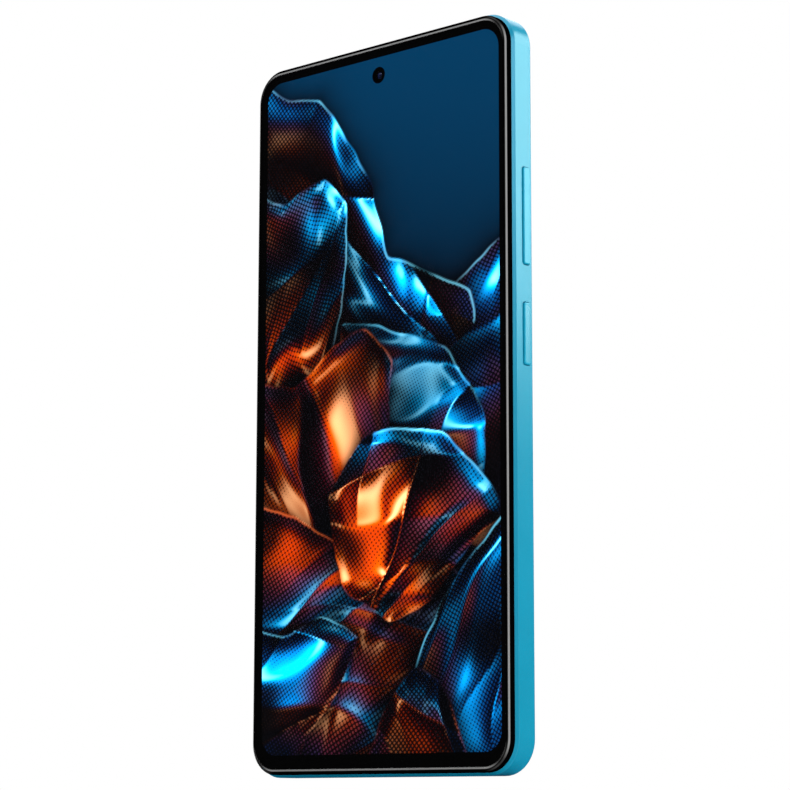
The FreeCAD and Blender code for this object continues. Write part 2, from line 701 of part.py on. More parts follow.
def make_headphone_jack():
    """Jack housing whose bore carries on from the hole in the top wall."""
    top_z = BODY_H - CAVITY_INSET
    bottom_z = BODY_H - JACK_DEPTH
    housing = box(JACK_X - 2.9, JACK_X + 2.9, -2.4, 2.1, bottom_z - 1.0, top_z)
    housing = housing.cut(post(JACK_X, 0, JACK_BORE_R, bottom_z, top_z + 1))
    return housing.cut([contact_block(side, z, 0.0) for side, z in contact_places()])


def contact_places():
    return ((-1, 151.4), (-1, 156.6), (1, 150.2), (1, 155.0))


def contact_block(side, z, gap):
    """Pocket of one contact beside the bore, or the contact itself when gap is above zero."""
    near = JACK_X + side * (JACK_BORE_R - 0.2 + 1.25 * min(gap, 0.2))
    far = JACK_X + side * (2.9 - gap)
    half_w = 0.5 - gap
    half_l = 1.3 - gap
    return box(min(near, far), max(near, far), -half_w, half_w, z - half_l, z + half_l)


def make_headphone_contacts():
    """Four sprung contacts, flush with the bore while no plug is in."""
    gap = 0.02
    bore = post(JACK_X, 0, JACK_BORE_R + 0.02, 140, 165)
    blocks = [contact_block(side, z, gap).cut(bore) for side, z in contact_places()]
    return Part.makeCompound(blocks)


def make_ir_emitter():
    """Infrared diode on the board, its domed lens in the hole in the top wall."""
    base = box(IR_X - 1.2, IR_X + 1.2, MAIN_BOARD_Y[1], 1.1, 158.3, 160.4)
    lens = post(IR_X, 0, IR_R, 160.4, BODY_H - 0.35)
    dome = Part.makeSphere(IR_R, Vector(IR_X, 0, BODY_H - 0.95))
    dome = dome.common(box(IR_X - 2, IR_X + 2, -2, 2, BODY_H - 0.95, BODY_H - 0.1))
    return base.fuse([lens, dome]).removeSplitter()


def make_microphones():
    top = box(TOP_MIC_X - 1.7, TOP_MIC_X + 1.7, MAIN_BOARD_Y[1], 0.6, 157.6, 160.4)
    bottom = box(BOTTOM_MIC_X - 1.7, BOTTOM_MIC_X + 1.7, SUB_BOARD_Y[1], 0.6, 2.5, 5.3)
    return Part.makeCompound([top, bottom])


def make_loudspeaker_box():
    """Speaker chamber with its sound outlet facing the row of holes in the bottom edge."""
    x0, x1, z0, z1 = SPEAKER_BOX
    wall = 0.6
    outer = box(x0, x1, -2.4, 1.5, z0, z1).common(body_plate(CAVITY_INSET + 0.3, -3, 3))
    room = box(x0 + wall, x1 - wall, -2.4 + wall, 1.5 - wall, z0 + wall, z1 - wall)
    room = room.common(body_plate(CAVITY_INSET + 0.3 + wall, -3, 3))
    outlet = box(12.4, 28.6, -0.7, 0.7, z0 - 1, z0 + wall + 0.1)
    return outer.cut([room, outlet])


def make_loudspeaker_diaphragm():
    rim = plate(13.0, 30.5, 7.5, 21.0, 3.0, -0.45, -0.3)
    dome = plate(15.5, 28.0, 10.0, 18.5, 2.5, -0.3, 0.15)
    coil = plate(17.0, 26.5, 11.2, 17.3, 2.0, -1.1, -0.45)
    return rim.fuse([dome, coil.cut(plate(17.5, 26.0, 11.7, 16.8, 1.5, -2, 0))])


def make_loudspeaker_mesh():
    return box(12.6, 28.4, -1.0, 1.0, CAVITY_INSET + 0.05, CAVITY_INSET + 0.25)


def make_battery():
    """Pouch cell with its folded side seams and the protection strip at its upper end."""
    x0, x1, z0, z1 = BATTERY
    cell = plate(x0, x1, z0, z1, 2.0, -2.45, 1.85)
    side_edges = [edge for edge in cell.Edges if edge.BoundBox.YLength < 1e-4]
    cell = cell.makeFillet(0.6, side_edges)
    strip = plate(x0 + 4, x1 - 4, z1 - 0.5, z1 + 2.6, 0.8, -2.2, -0.4)
    return cell.fuse(strip)


def upper_outline(y0, y1, clearance):
    """Plan of the upper board: its left field, the jack's notch and the arm round the cameras."""
    c = clearance
    fields = [
        box(-34.0 + c, 7.4 - c, y0, y1, 121.5 + c, 147.4 - c),
        box(-20.6 + c, -3.3 - c, y0, y1, 147.3 - c, 156.6 - c),
        box(3.3 + c, 18.4 - c, y0, y1, 136.4 + c, 156.6 - c),
        box(8.0 + c, 30.6 - c, y0, y1, 155.0 + c, 159.6 - c),
    ]
    return fields[0].fuse(fields[1:]).removeSplitter()


def make_main_board():
    board = upper_outline(*MAIN_BOARD_Y, 0.0)
    return board.cut([disc(at, BOSS_R + 0.15, -3, 3) for at in UPPER_SCREWS])


def make_board_shields():
    """Shield cans over the processor, the radio and the power circuits."""
    y0 = MAIN_BOARD_Y[1]
    cans = [
        plate(-29.5, -9.8, 127.5, 146.3, 0.8, y0, y0 + 1.5),
        plate(-5.6, 6.2, 127.5, 146.3, 0.8, y0, y0 + 1.3),
        plate(-19.6, -4.4, 150.4, 155.8, 0.8, y0, y0 + 1.2),
    ]
    return Part.makeCompound(cans)


def make_upper_bracket():
    """Moulded antenna bracket that holds the upper board down."""
    bracket = upper_outline(*UPPER_BRACKET_Y, 0.5)
    cuts = [disc(at, SCREW_R + 0.1, 0, 3) for at in UPPER_SCREWS]
    cuts.append(disc(FLASH_AT, 3.4, 0, 3))
    cuts.append(box(IR_X - 1.5, IR_X + 1.5, 0, 3, 158.0, 162))
    return bracket.cut(cuts)


def make_lower_bracket():
    """Moulded bracket over the lower board and the loudspeaker, relieved for the screw heads."""
    y0, y1 = LOWER_BRACKET_Y
    bracket = box(-34.0, 34.0, y0, y1, 2.6, 25.2).common(body_plate(CAVITY_INSET + 0.4, 0, 3))
    head_y = y1 - SCREW_HEAD_H
    cuts = []
    for at in LOWER_SCREWS:
        cuts.append(disc(at, SCREW_R + 0.1, 0, 3))
        cuts.append(disc(at, SCREW_HEAD_R + 0.15, head_y, 3))
    return bracket.cut(cuts)


def make_bracket_screws():
    """Ten identical screws, each with a cross recess."""
    seats = [(at, UPPER_BRACKET_Y[1]) for at in UPPER_SCREWS]
    seats += [(at, LOWER_BRACKET_Y[1] - SCREW_HEAD_H) for at in LOWER_SCREWS]
    return Part.makeCompound([make_screw(at, seat_y) for at, seat_y in seats])


def make_screw(at, seat_y):
    x, z = at
    shank = disc(at, SCREW_R, seat_y - 3.0, seat_y)
    head = disc(at, SCREW_HEAD_R, seat_y, seat_y + SCREW_HEAD_H)
    recess_y = seat_y + SCREW_HEAD_H - 0.2
    recess = [
        box(x - 0.7, x + 0.7, recess_y, recess_y + 1, z - 0.12, z + 0.12),
        box(x - 0.12, x + 0.12, recess_y, recess_y + 1, z - 0.7, z + 0.7),
    ]
    return shank.fuse(head).removeSplitter().cut(recess)


def make_sub_board():
    board = box(-28.4, 8.6, *SUB_BOARD_Y, 2.4, 26.2)
    return board.cut([disc(at, BOSS_R + 0.15, -3, 3) for at in LOWER_SCREWS])


def make_main_flex():
    """Ribbon from the upper board over the battery to the lower board."""
    over = 1.92
    thick = 0.15
    upper = MAIN_BOARD_Y[1]
    lower = SUB_BOARD_Y[1]
    outer = [(lower + 0.9, 18.0), (lower + 0.9, 24.6), (over + thick, 27.3), (over + thick, 118.6),
             (upper + 0.9, 121.9), (upper + 0.9, 126.4)]
    inner = [(upper, 126.4), (upper, 122.6), (upper + 0.7, 122.4), (upper + 0.7, 121.9), (over, 118.5),
             (over, 27.4), (lower + 0.7, 24.8), (lower + 0.7, 23.8), (lower, 23.6), (lower, 18.0)]
    return strip_along_x(outer + inner, -5.0, 5.0)


def make_antenna_coax():
    """Coaxial cable up the left side of the battery, with a snap connector at each end."""
    y = -0.65
    r = 0.4
    side_x = -34.3
    turn_r = 3.0
    low_z = 25.9
    high_z = 124.0
    lower_end = Vector(-25.5, y, low_z)
    upper_end = Vector(-30.9, y, high_z)
    low_turn = [on_circle(side_x + turn_r, low_z + turn_r, turn_r, a, y) for a in (270, 225, 180)]
    high_turn = [on_circle(side_x + turn_r, high_z - turn_r, turn_r, a, y) for a in (180, 135, 90)]
    path = Part.Wire([
        Part.LineSegment(lower_end, low_turn[0]).toShape(),
        Part.Arc(*low_turn).toShape(),
        Part.LineSegment(low_turn[2], high_turn[0]).toShape(),
        Part.Arc(*high_turn).toShape(),
        Part.LineSegment(high_turn[2], upper_end).toShape(),
    ])
    section = Part.Wire(Part.makeCircle(r, lower_end, ALONG_X))
    tube = path.makePipeShell([section], True, False)
    plugs = [
        disc((-25.5, 25.2), 1.0, SUB_BOARD_Y[1], y + 0.5),
        disc((-30.9, high_z), 1.0, MAIN_BOARD_Y[1], y + 0.5),
    ]
    return tube.fuse(plugs)


def make_lra_housing():
    """Closed can of the vibration motor."""
    x0, x1, z0, z1 = LRA_BOX
    wall = 0.3
    can = plate(x0, x1, z0, z1, 0.8, -2.3, 1.0)
    return can.cut(plate(x0 + wall, x1 - wall, z0 + wall, z1 - wall, 0.5, -2.3 + wall, 1.0 - wall))


def make_lra_mass():
    x0, x1, z0, z1 = LRA_BOX
    return plate(x0 + 0.7, x1 - 0.7, z0 + 2.4, z1 - 2.4, 0.4, -1.6, 0.3)


def make_lra_springs():
    """Two V-shaped leaf springs, one at each end of the mass."""
    x0, x1, z0, z1 = LRA_BOX
    foot_x = (x0 + x1) / 2
    knee_x = foot_x + 1.6
    low, knee_z, high = z0 + 0.35, z0 + 1.35, z0 + 2.35
    leaf = 0.25
    outer = [(foot_x, low), (knee_x, knee_z), (foot_x, high)]
    inner = [(foot_x, high - leaf), (knee_x - 2 * leaf, knee_z), (foot_x, low + leaf)]
    corners = [Vector(x, -1.4, z) for x, z in outer + inner]
    lower = Part.Face(Part.makePolygon(corners + corners[:1])).extrude(Vector(0, 1.5, 0))
    upper = lower.mirror(Vector(0, 0, (z0 + z1) / 2), ALONG_Z)
    return Part.makeCompound([lower, upper])


def make_nfc_antenna():
    """Flat coil of three turns on the inside of the rear cover."""
    turns = []
    for i in range(3):
        grow = 1.2 * i
        outer = (-20.0 - grow, 20.0 + grow, 84.0 - grow, 112.0 + grow)
        turns.append(coil_turn(outer, 3.0 + grow))
    return Part.makeCompound(turns)


def coil_turn(bounds, r, track=0.8):
    x0, x1, z0, z1 = bounds
    y0 = COVER_INNER_Y - 0.1
    ring = plate(x0, x1, z0, z1, r, y0, COVER_INNER_Y)
    return ring.cut(plate(x0 + track, x1 - track, z0 + track, z1 - track, r - track, y0 - 1, y0 + 1))


def lens_pieces():
    """The three rear lens rings and their windows. The main ring stands the highest."""
    pieces = {}
    backs = {"main": LENS_RING_BACK_Y, "ultrawide": LENS_RING_BACK_Y - 0.1, "macro": LENS_RING_BACK_Y - 0.2}
    for name, (at, radii) in zip(("main", "ultrawide", "macro"), lens_places()):
        pieces[name + "_lens_ring"] = make_lens_ring(at, radii, backs[name])
        pieces[name + "_lens_window"] = make_lens_window(at, radii, backs[name])
    return pieces


def make_pieces():
    pieces = {
        "side_frame": make_side_frame(),
        "mid_plate": make_mid_plate(),
        "rear_cover": make_rear_cover(),
        "rear_cover_adhesive": make_rear_cover_adhesive(),
        "cover_glass": make_cover_glass(),
        "display_trim_ring": make_display_trim_ring(),
        "oled_panel": make_oled_panel(),
        "display_backing": make_display_backing(),
        "display_flex": make_display_flex(),
        "front_camera": make_front_camera(),
        "front_camera_lens": make_front_camera_lens(),
        "front_camera_gasket": make_front_camera_gasket(),
        "earpiece_speaker": make_earpiece_speaker(),
        "earpiece_diaphragm": make_earpiece_diaphragm(),
        "earpiece_mesh": make_earpiece_mesh(),
        "camera_island": make_camera_island(),
        "flash_window": make_flash_window(),
        "flash_led": make_flash_led(),
        "main_camera": make_main_camera(),
        "main_camera_barrel": make_main_camera_barrel(),
        "ultrawide_camera": make_fixed_camera(ULTRAWIDE_AT, 4.3, -1.9, 2.4, 3.2, 3.5),
        "macro_camera": make_fixed_camera(MACRO_AT, 3.1, -0.6, 2.4, 2.0, 3.4),
        "power_button": make_power_button(),
        "fingerprint_sensor": make_fingerprint_sensor(),
        "volume_rocker": make_volume_rocker(),
        "side_key_flex": make_side_key_flex(),
        "sim_tray": make_sim_tray(),
        "sim_tray_seal": make_sim_tray_seal(),
        "sim_socket": make_sim_socket(),
        "sim_eject_rod": make_sim_eject_rod(),
        "sim_eject_lever": make_sim_eject_lever(),
        "sim_lever_pin": make_sim_lever_pin(),
        "usb_c_shell": make_usb_c_shell(),
        "usb_c_tongue": make_usb_c_tongue(),
        "headphone_jack": make_headphone_jack(),
        "headphone_contacts": make_headphone_contacts(),
        "ir_emitter": make_ir_emitter(),
        "microphones": make_microphones(),
        "loudspeaker_box": make_loudspeaker_box(),
        "loudspeaker_diaphragm": make_loudspeaker_diaphragm(),
        "loudspeaker_mesh": make_loudspeaker_mesh(),
        "battery": make_battery(),
        "main_board": make_main_board(),
        "board_shields": make_board_shields(),
        "sub_board": make_sub_board(),
        "main_flex": make_main_flex(),
        "antenna_coax": make_antenna_coax(),
        "upper_bracket": make_upper_bracket(),
        "lower_bracket": make_lower_bracket(),
        "bracket_screws": make_bracket_screws(),
        "lra_housing": make_lra_housing(),
        "lra_mass": make_lra_mass(),
        "lra_springs": make_lra_springs(),
        "nfc_antenna": make_nfc_antenna(),
    }
    pieces.update(lens_pieces())
    return pieces


def main():
    os.makedirs(PARTS_DIR, exist_ok=True)
    for name, shape in make_pieces().items():
        shape.exportStep(os.path.join(PARTS_DIR, name + ".step"))


main()
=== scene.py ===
"""Looks for the smartphone: materials, the lit picture, printed glass, lens details and a plain studio."""

import math

import bpy
import numpy as np
from mathutils import Matrix, Vector


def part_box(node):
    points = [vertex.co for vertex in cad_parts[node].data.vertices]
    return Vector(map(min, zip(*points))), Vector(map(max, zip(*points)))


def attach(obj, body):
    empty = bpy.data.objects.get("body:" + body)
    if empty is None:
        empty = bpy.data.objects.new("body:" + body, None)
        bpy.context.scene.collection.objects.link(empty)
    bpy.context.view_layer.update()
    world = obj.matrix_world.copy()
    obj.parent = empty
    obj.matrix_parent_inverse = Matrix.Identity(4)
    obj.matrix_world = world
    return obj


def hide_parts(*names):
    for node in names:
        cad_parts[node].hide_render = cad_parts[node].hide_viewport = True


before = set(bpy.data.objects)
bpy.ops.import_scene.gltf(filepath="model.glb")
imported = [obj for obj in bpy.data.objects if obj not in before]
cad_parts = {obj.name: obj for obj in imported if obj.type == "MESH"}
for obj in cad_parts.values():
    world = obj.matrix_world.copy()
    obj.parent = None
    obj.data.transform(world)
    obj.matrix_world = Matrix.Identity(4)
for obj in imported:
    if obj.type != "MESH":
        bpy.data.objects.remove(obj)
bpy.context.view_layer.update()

MM = 0.001
MAIN_BODY = "phone_body"


# ---------------------------------------------------------------- places from the frame

GLASS_LOW, GLASS_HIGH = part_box("cover_glass")
PANEL_LOW, PANEL_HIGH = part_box("oled_panel")
FRAME_LOW, FRAME_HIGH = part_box("side_frame")
SELFIE_LOW, SELFIE_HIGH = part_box("front_camera_lens")
PANEL_BORDER = 0.5 * MM
ACTIVE_X0 = PANEL_LOW.x + PANEL_BORDER
ACTIVE_X1 = PANEL_HIGH.x - PANEL_BORDER
ACTIVE_Z0 = PANEL_LOW.z + PANEL_BORDER
ACTIVE_Z1 = PANEL_HIGH.z - PANEL_BORDER
ACTIVE_CORNER_R = 4.5 * MM
GLASS_CORNER_R = 6.8 * MM
SELFIE_X = (SELFIE_LOW.x + SELFIE_HIGH.x) / 2
SELFIE_Z = (SELFIE_LOW.z + SELFIE_HIGH.z) / 2
SELFIE_HOLE_R = 1.9 * MM
SELFIE_PRINT_R = 1.45 * MM


# ---------------------------------------------------------------- camera

CAMERA_AT = Vector((0.36243, -0.40157, -0.00735))
CAMERA_YAW = math.radians(41.957)
CAMERA_PITCH = math.radians(9.50)
CAMERA_ROLL = 0.0021
CAMERA_LENS = 113.5
SENSOR_WIDTH = 36.0
NEAREST_SEEN = 0.01
FARTHEST_SEEN = 50.0


def make_camera():
    data = bpy.data.cameras.new("camera")
    data.lens = CAMERA_LENS
    data.sensor_width = SENSOR_WIDTH
    data.clip_start = NEAREST_SEEN
    data.clip_end = FARTHEST_SEEN
    camera = bpy.data.objects.new("camera", data)
    flat = math.cos(CAMERA_PITCH)
    forward = Vector((-math.sin(CAMERA_YAW) * flat, math.cos(CAMERA_YAW) * flat, math.sin(CAMERA_PITCH)))
    right = Vector((math.cos(CAMERA_YAW), math.sin(CAMERA_YAW), 0))
    up = right.cross(forward)
    rolled_right = right * math.cos(CAMERA_ROLL) + up * math.sin(CAMERA_ROLL)
    rolled_up = up * math.cos(CAMERA_ROLL) - right * math.sin(CAMERA_ROLL)
    turn = Matrix((rolled_right, rolled_up, -forward)).transposed()
    camera.matrix_world = Matrix.Translation(CAMERA_AT) @ turn.to_4x4()
    link(camera)
    bpy.context.scene.camera = camera


# ---------------------------------------------------------------- node trees

def new_material(name):
    """An empty node material, its output node and its tree."""
    material = bpy.data.materials.new(name)
    material.use_nodes = True
    tree = material.node_tree
    tree.nodes.clear()
    return material, tree.nodes.new("ShaderNodeOutputMaterial"), tree


def add(tree, kind, inputs=None, **settings):
    """A node of that kind. Each input is a value, or an output socket to link."""
    node = tree.nodes.new(kind)
    for key, value in settings.items():
        setattr(node, key, value)
    for key, value in (inputs or {}).items():
        put(tree, node.inputs[key], value)
    return node


def put(tree, socket, value):
    if isinstance(value, bpy.types.NodeSocket):
        tree.links.new(value, socket)
    else:
        socket.default_value = value


def math_node(tree, operation, a, b=0.0):
    return add(tree, "ShaderNodeMath", {0: a, 1: b}, operation=operation).outputs[0]


def plus(tree, a, b):
    return math_node(tree, "ADD", a, b)


def minus(tree, a, b):
    return math_node(tree, "SUBTRACT", a, b)


def times(tree, a, b):
    return math_node(tree, "MULTIPLY", a, b)


def vector_math(tree, operation, a, b=(0, 0, 0), result="Vector"):
    return add(tree, "ShaderNodeVectorMath", {0: a, 1: b}, operation=operation).outputs[result]


def ranged(tree, value, low, high, to_low, to_high, smooth=False):
    """Value carried from low..high to to_low..to_high, and held at the ends."""
    ends = {"From Min": low, "From Max": high, "To Min": to_low, "To Max": to_high}
    node = add(tree, "ShaderNodeMapRange", {"Value": value, **ends})
    if smooth:
        node.interpolation_type = "SMOOTHSTEP"
    return node.outputs["Result"]


def between(tree, value, limits):
    """0 outside four limits and 1 between the middle two, with smooth turns."""
    start, full, fading, gone = limits
    rise = ranged(tree, value, start, full, 0.0, 1.0, smooth=True)
    fall = ranged(tree, value, gone, fading, 0.0, 1.0, smooth=True)
    return times(tree, rise, fall)


def blended(tree, share, a, b):
    """Colour a where share is 0 and b where it is 1."""
    node = add(tree, "ShaderNodeMix", data_type="RGBA")
    put(tree, node.inputs[0], share)
    put(tree, node.inputs[6], a)
    put(tree, node.inputs[7], b)
    return node.outputs[2]


def mixed(tree, share, a, b):
    """Shader a where share is 0 and b where it is 1."""
    return add(tree, "ShaderNodeMixShader", {0: share, 1: a, 2: b}).outputs[0]


def object_place(tree):
    return add(tree, "ShaderNodeTexCoord").outputs["Object"]


def noise(tree, size_mm, detail=2.0, stretch=(1, 1, 1)):
    """Noise whose features are about size_mm long, stretched along each axis."""
    place = vector_math(tree, "MULTIPLY", object_place(tree), [1 / s for s in stretch])
    node = add(tree, "ShaderNodeTexNoise", {"Vector": place, "Scale": 1 / (size_mm * MM), "Detail": detail})
    return node.outputs["Fac"]


def bump(tree, height, depth_mm, strength):
    node = add(tree, "ShaderNodeBump", {"Height": height, "Strength": strength, "Distance": depth_mm * MM})
    return node.outputs["Normal"]


def link(thing):
    bpy.context.scene.collection.objects.link(thing)


def rgba(colour):
    return (*colour[:3], 1.0)


def scaled(colour, factor):
    return rgba([min(1.0, c * factor) for c in colour])


def principled(tree, output, inputs):
    shader = add(tree, "ShaderNodeBsdfPrincipled", inputs)
    tree.links.new(shader.outputs[0], output.inputs["Surface"])


WEAR_RADIUS = 0.25 * MM
RUBBED_PAINT = (0.25, 0.62, 0.72)


def edge_wear(tree):
    """1 on sharp outer edges, 0 on flat faces, from how much a bevelled normal leans away."""
    bevelled = add(tree, "ShaderNodeBevel", {"Radius": WEAR_RADIUS}, samples=4).outputs[0]
    plain = add(tree, "ShaderNodeNewGeometry").outputs["Normal"]
    return ranged(tree, vector_math(tree, "DOT_PRODUCT", bevelled, plain, "Value"), 0.98, 0.80, 0.0, 1.0)


# ---------------------------------------------------------------- materials

def satin_paint(name, colour, roughness=0.26, flake=0.10, coat=0.0):
    """Sprayed satin lacquer: fine metallic flake, slight orange peel, edges rubbed a little lighter."""
    material, output, tree = new_material(name)
    uneven = 0.008
    flakes = noise(tree, 0.09, 1.0)
    cloud = noise(tree, 14.0, 2.0)
    shade = ranged(tree, plus(tree, times(tree, flakes, 0.8), times(tree, cloud, 0.2)), 0.35, 0.65, 0, 1)
    base = blended(tree, shade, scaled(colour, 1 - flake), scaled(colour, 1 + flake))
    base = blended(tree, times(tree, edge_wear(tree), 0.25), base, rgba(RUBBED_PAINT))
    peel = plus(tree, noise(tree, 0.45, 2.0), times(tree, flakes, 0.4))
    principled(tree, output, {
        "Base Color": base,
        "Roughness": ranged(tree, noise(tree, 3.0, 1.0), 0.2, 0.8, roughness - uneven, roughness + uneven),
        "Metallic": 0.12,
        "Specular IOR Level": 0.6,
        "Coat Weight": coat,
        "Coat Roughness": 0.22,
        "Normal": bump(tree, peel, 0.004, 0.5),
    })
    return material


def moulded_plastic(name, colour, roughness=0.5, grain_mm=0.12, depth_mm=0.006, gloss=0.5):
    """Fine spark-eroded texture of a moulded part."""
    material, output, tree = new_material(name)
    grain = noise(tree, grain_mm, 3.0)
    cloud = noise(tree, 5.0, 2.0)
    principled(tree, output, {
        "Base Color": blended(tree, cloud, scaled(colour, 0.75), scaled(colour, 1.3)),
        "Roughness": ranged(tree, grain, 0.3, 0.7, roughness - 0.08, roughness + 0.10),
        "Specular IOR Level": gloss,
        "Normal": bump(tree, grain, depth_mm, 0.6),
    })
    return material


def brushed_metal(name, colour, roughness=0.28, along=(1, 1, 14), depth_mm=0.004):
    """Metal with fine grinding lines along one axis, or an even grain where along is the same all round."""
    material, output, tree = new_material(name)
    lines = noise(tree, 0.12, 3.0, along)
    wear = plus(tree, lines, noise(tree, 4.0, 2.0))
    principled(tree, output, {
        "Base Color": blended(tree, lines, scaled(colour, 0.82), scaled(colour, 1.12)),
        "Metallic": 1.0,
        "Roughness": ranged(tree, wear, 0.6, 1.4, roughness - 0.06, roughness + 0.12),
        "Normal": bump(tree, lines, depth_mm, 0.5),
    })
    return material


def circuit_board(name):
    """Solder mask with copper tracks under it, and square gold pads."""
    material, output, tree = new_material(name)
    place = vector_math(tree, "MULTIPLY", object_place(tree), (1, 0, 1))
    cells = add(tree, "ShaderNodeTexVoronoi", {"Vector": place, "Scale": 700.0, "Randomness": 0.55},
                distance="CHEBYCHEV", feature="F1")
    pads = ranged(tree, cells.outputs["Distance"], 0.20, 0.24, 1.0, 0.0)
    draw = add(tree, "ShaderNodeSeparateColor", {0: cells.outputs["Color"]}).outputs[0]
    pads = times(tree, pads, ranged(tree, draw, 0.6, 0.62, 0, 1))
    tracks = add(tree, "ShaderNodeTexVoronoi", {"Vector": place, "Scale": 420.0}, distance="MANHATTAN",
                 feature="DISTANCE_TO_EDGE").outputs["Distance"]
    tracks = ranged(tree, tracks, 0.03, 0.06, 1.0, 0.0)
    mask = blended(tree, tracks, rgba((0.006, 0.030, 0.022)), rgba((0.012, 0.075, 0.050)))
    principled(tree, output, {
        "Base Color": blended(tree, pads, mask, rgba((0.85, 0.62, 0.25))),
        "Metallic": pads,
        "Roughness": ranged(tree, pads, 0, 1, 0.38, 0.25),
        "Normal": bump(tree, plus(tree, pads, tracks), 0.02, 0.7),
    })
    return material


def circuit_film(name):
    """Amber polyimide film with copper lines running along it."""
    material, output, tree = new_material(name)
    lines = add(tree, "ShaderNodeTexWave", {"Vector": object_place(tree), "Scale": 900.0, "Distortion": 0.6},
                wave_type="BANDS", bands_direction="X").outputs["Fac"]
    copper = ranged(tree, lines, 0.45, 0.6, 0, 1)
    principled(tree, output, {
        "Base Color": blended(tree, copper, rgba((0.10, 0.035, 0.006)), rgba((0.42, 0.19, 0.045))),
        "Roughness": ranged(tree, noise(tree, 1.5), 0.3, 0.7, 0.28, 0.42),
        "Normal": bump(tree, copper, 0.01, 0.6),
    })
    return material


def battery_pouch(name):
    """Black printed pouch film: crinkled aluminium laminate under a plastic skin."""
    material, output, tree = new_material(name)
    crinkle = noise(tree, 2.2, 5.0)
    principled(tree, output, {
        "Base Color": blended(tree, crinkle, rgba((0.012, 0.012, 0.014)), rgba((0.045, 0.045, 0.050))),
        "Roughness": ranged(tree, noise(tree, 0.5, 3.0), 0.3, 0.7, 0.32, 0.5),
        "Normal": bump(tree, crinkle, 0.05, 0.5),
    })
    return material


def woven_mesh(name, pitch_mm=0.16):
    """Fine woven wire cloth, with painted shade in its openings for the hollow seen through them."""
    material, output, tree = new_material(name)
    slanted = (0, math.pi / 4, math.pi / 4)
    turned = add(tree, "ShaderNodeMapping", {"Vector": object_place(tree), "Rotation": slanted}).outputs[0]
    cells = add(tree, "ShaderNodeTexVoronoi",
                {"Vector": turned, "Scale": 1 / (pitch_mm * MM), "Randomness": 0.0})
    # Painted shade: the openings are dark for the shaded hollow behind the cloth.
    shaded_opening = ranged(tree, cells.outputs["Distance"], 0.26, 0.36, 1.0, 0.0)
    principled(tree, output, {
        "Base Color": blended(tree, shaded_opening, rgba((0.16, 0.16, 0.17)), rgba((0.002, 0.002, 0.002))),
        "Metallic": ranged(tree, shaded_opening, 0, 1, 0.9, 0.0),
        "Roughness": ranged(tree, shaded_opening, 0, 1, 0.35, 0.8),
        "Normal": bump(tree, shaded_opening, -0.04, 0.8),
    })
    return material


# Painted highlight: a grey line painted on the front glass's rim in place of a reflection, in millimetres:
# where it starts, is full, begins to dim and has gone.
# On the long sides that is how far behind the glass's face, on the ends how far in from its outline. The
# black of the rim sets in over the first pair below and ends over the second, behind the glass's face.
RIM_HIGHLIGHT_ON_SIDES = (0.10, 0.22, 0.33, 0.42)
RIM_HIGHLIGHT_ON_ENDS = (0.50, 0.68, 0.88, 1.10)
RIM_HIGHLIGHT_END_SHARE = 0.8
RIM_HIGHLIGHT_CORNER_SHARE = 0.22
BLACK_RIM_FRONT = (0.004, 0.012)
BLACK_RIM_BACK = (0.585, 0.595)
BLACK_RIM = (0.0008, 0.0008, 0.0008)


def clear_glass(name, tint, smudge=0.05, rim=0.0):
    """Thin clear glass: it lets through what lies behind it and mirrors by its angle.

    rim is how grey the painted highlight line on the glass's black rim is, and 0 leaves the rim clear.
    """
    material, output, tree = new_material(name)
    see_through = add(tree, "ShaderNodeBsdfTransparent", {"Color": rgba(tint)}).outputs[0]
    smears = ranged(tree, noise(tree, 9.0, 4.0, (1, 1, 2.5)), 0.45, 0.75, 0.0, smudge)
    mirror = add(tree, "ShaderNodeBsdfGlossy", {"Color": (1, 1, 1, 1), "Roughness": smears}).outputs[0]
    outward = minus(tree, 1.0, add(tree, "ShaderNodeNewGeometry").outputs["Backfacing"])
    share = times(tree, add(tree, "ShaderNodeFresnel", {"IOR": 1.5}).outputs[0], outward)
    surface = mixed(tree, share, see_through, mirror)
    if rim > 0.0:
        surface = black_rim_and_painted_highlight(tree, surface, rim)
    tree.links.new(surface, output.inputs["Surface"])
    return material


def black_rim_and_painted_highlight(tree, glass, grey):
    """The glass with its curved rim black and a painted highlight along it, a grey line that is dimmer
    through the corners.
    """
    drop, inset, sideways = rim_place(tree)
    endways = minus(tree, 1.0, sideways)
    highlight_on_side = times(tree, between(tree, drop, RIM_HIGHLIGHT_ON_SIDES), sideways)
    highlight_on_end = times(tree, between(tree, inset, RIM_HIGHLIGHT_ON_ENDS), times(tree, endways, RIM_HIGHLIGHT_END_SHARE))
    off_corner = math_node(tree, "ABSOLUTE", minus(tree, sideways, endways))
    line = times(tree, plus(tree, highlight_on_side, highlight_on_end),
                 ranged(tree, off_corner, 0.2, 0.95, RIM_HIGHLIGHT_CORNER_SHARE, 1.0))
    # The grey line is a painted highlight, a diffuse grey standing in for the rim's reflection.
    painted_highlight = add(tree, "ShaderNodeBsdfDiffuse", {"Color": rgba((grey, grey, grey))}).outputs[0]
    black = add(tree, "ShaderNodeBsdfDiffuse", {"Color": rgba(BLACK_RIM)}).outputs[0]
    on_edge = times(tree, ranged(tree, drop, *BLACK_RIM_FRONT, 0.0, 1.0),
                    ranged(tree, drop, *BLACK_RIM_BACK, 1.0, 0.0))
    on_edge = math_node(tree, "MAXIMUM", on_edge, highlight_on_end)
    return mixed(tree, on_edge, glass, mixed(tree, line, black, painted_highlight))


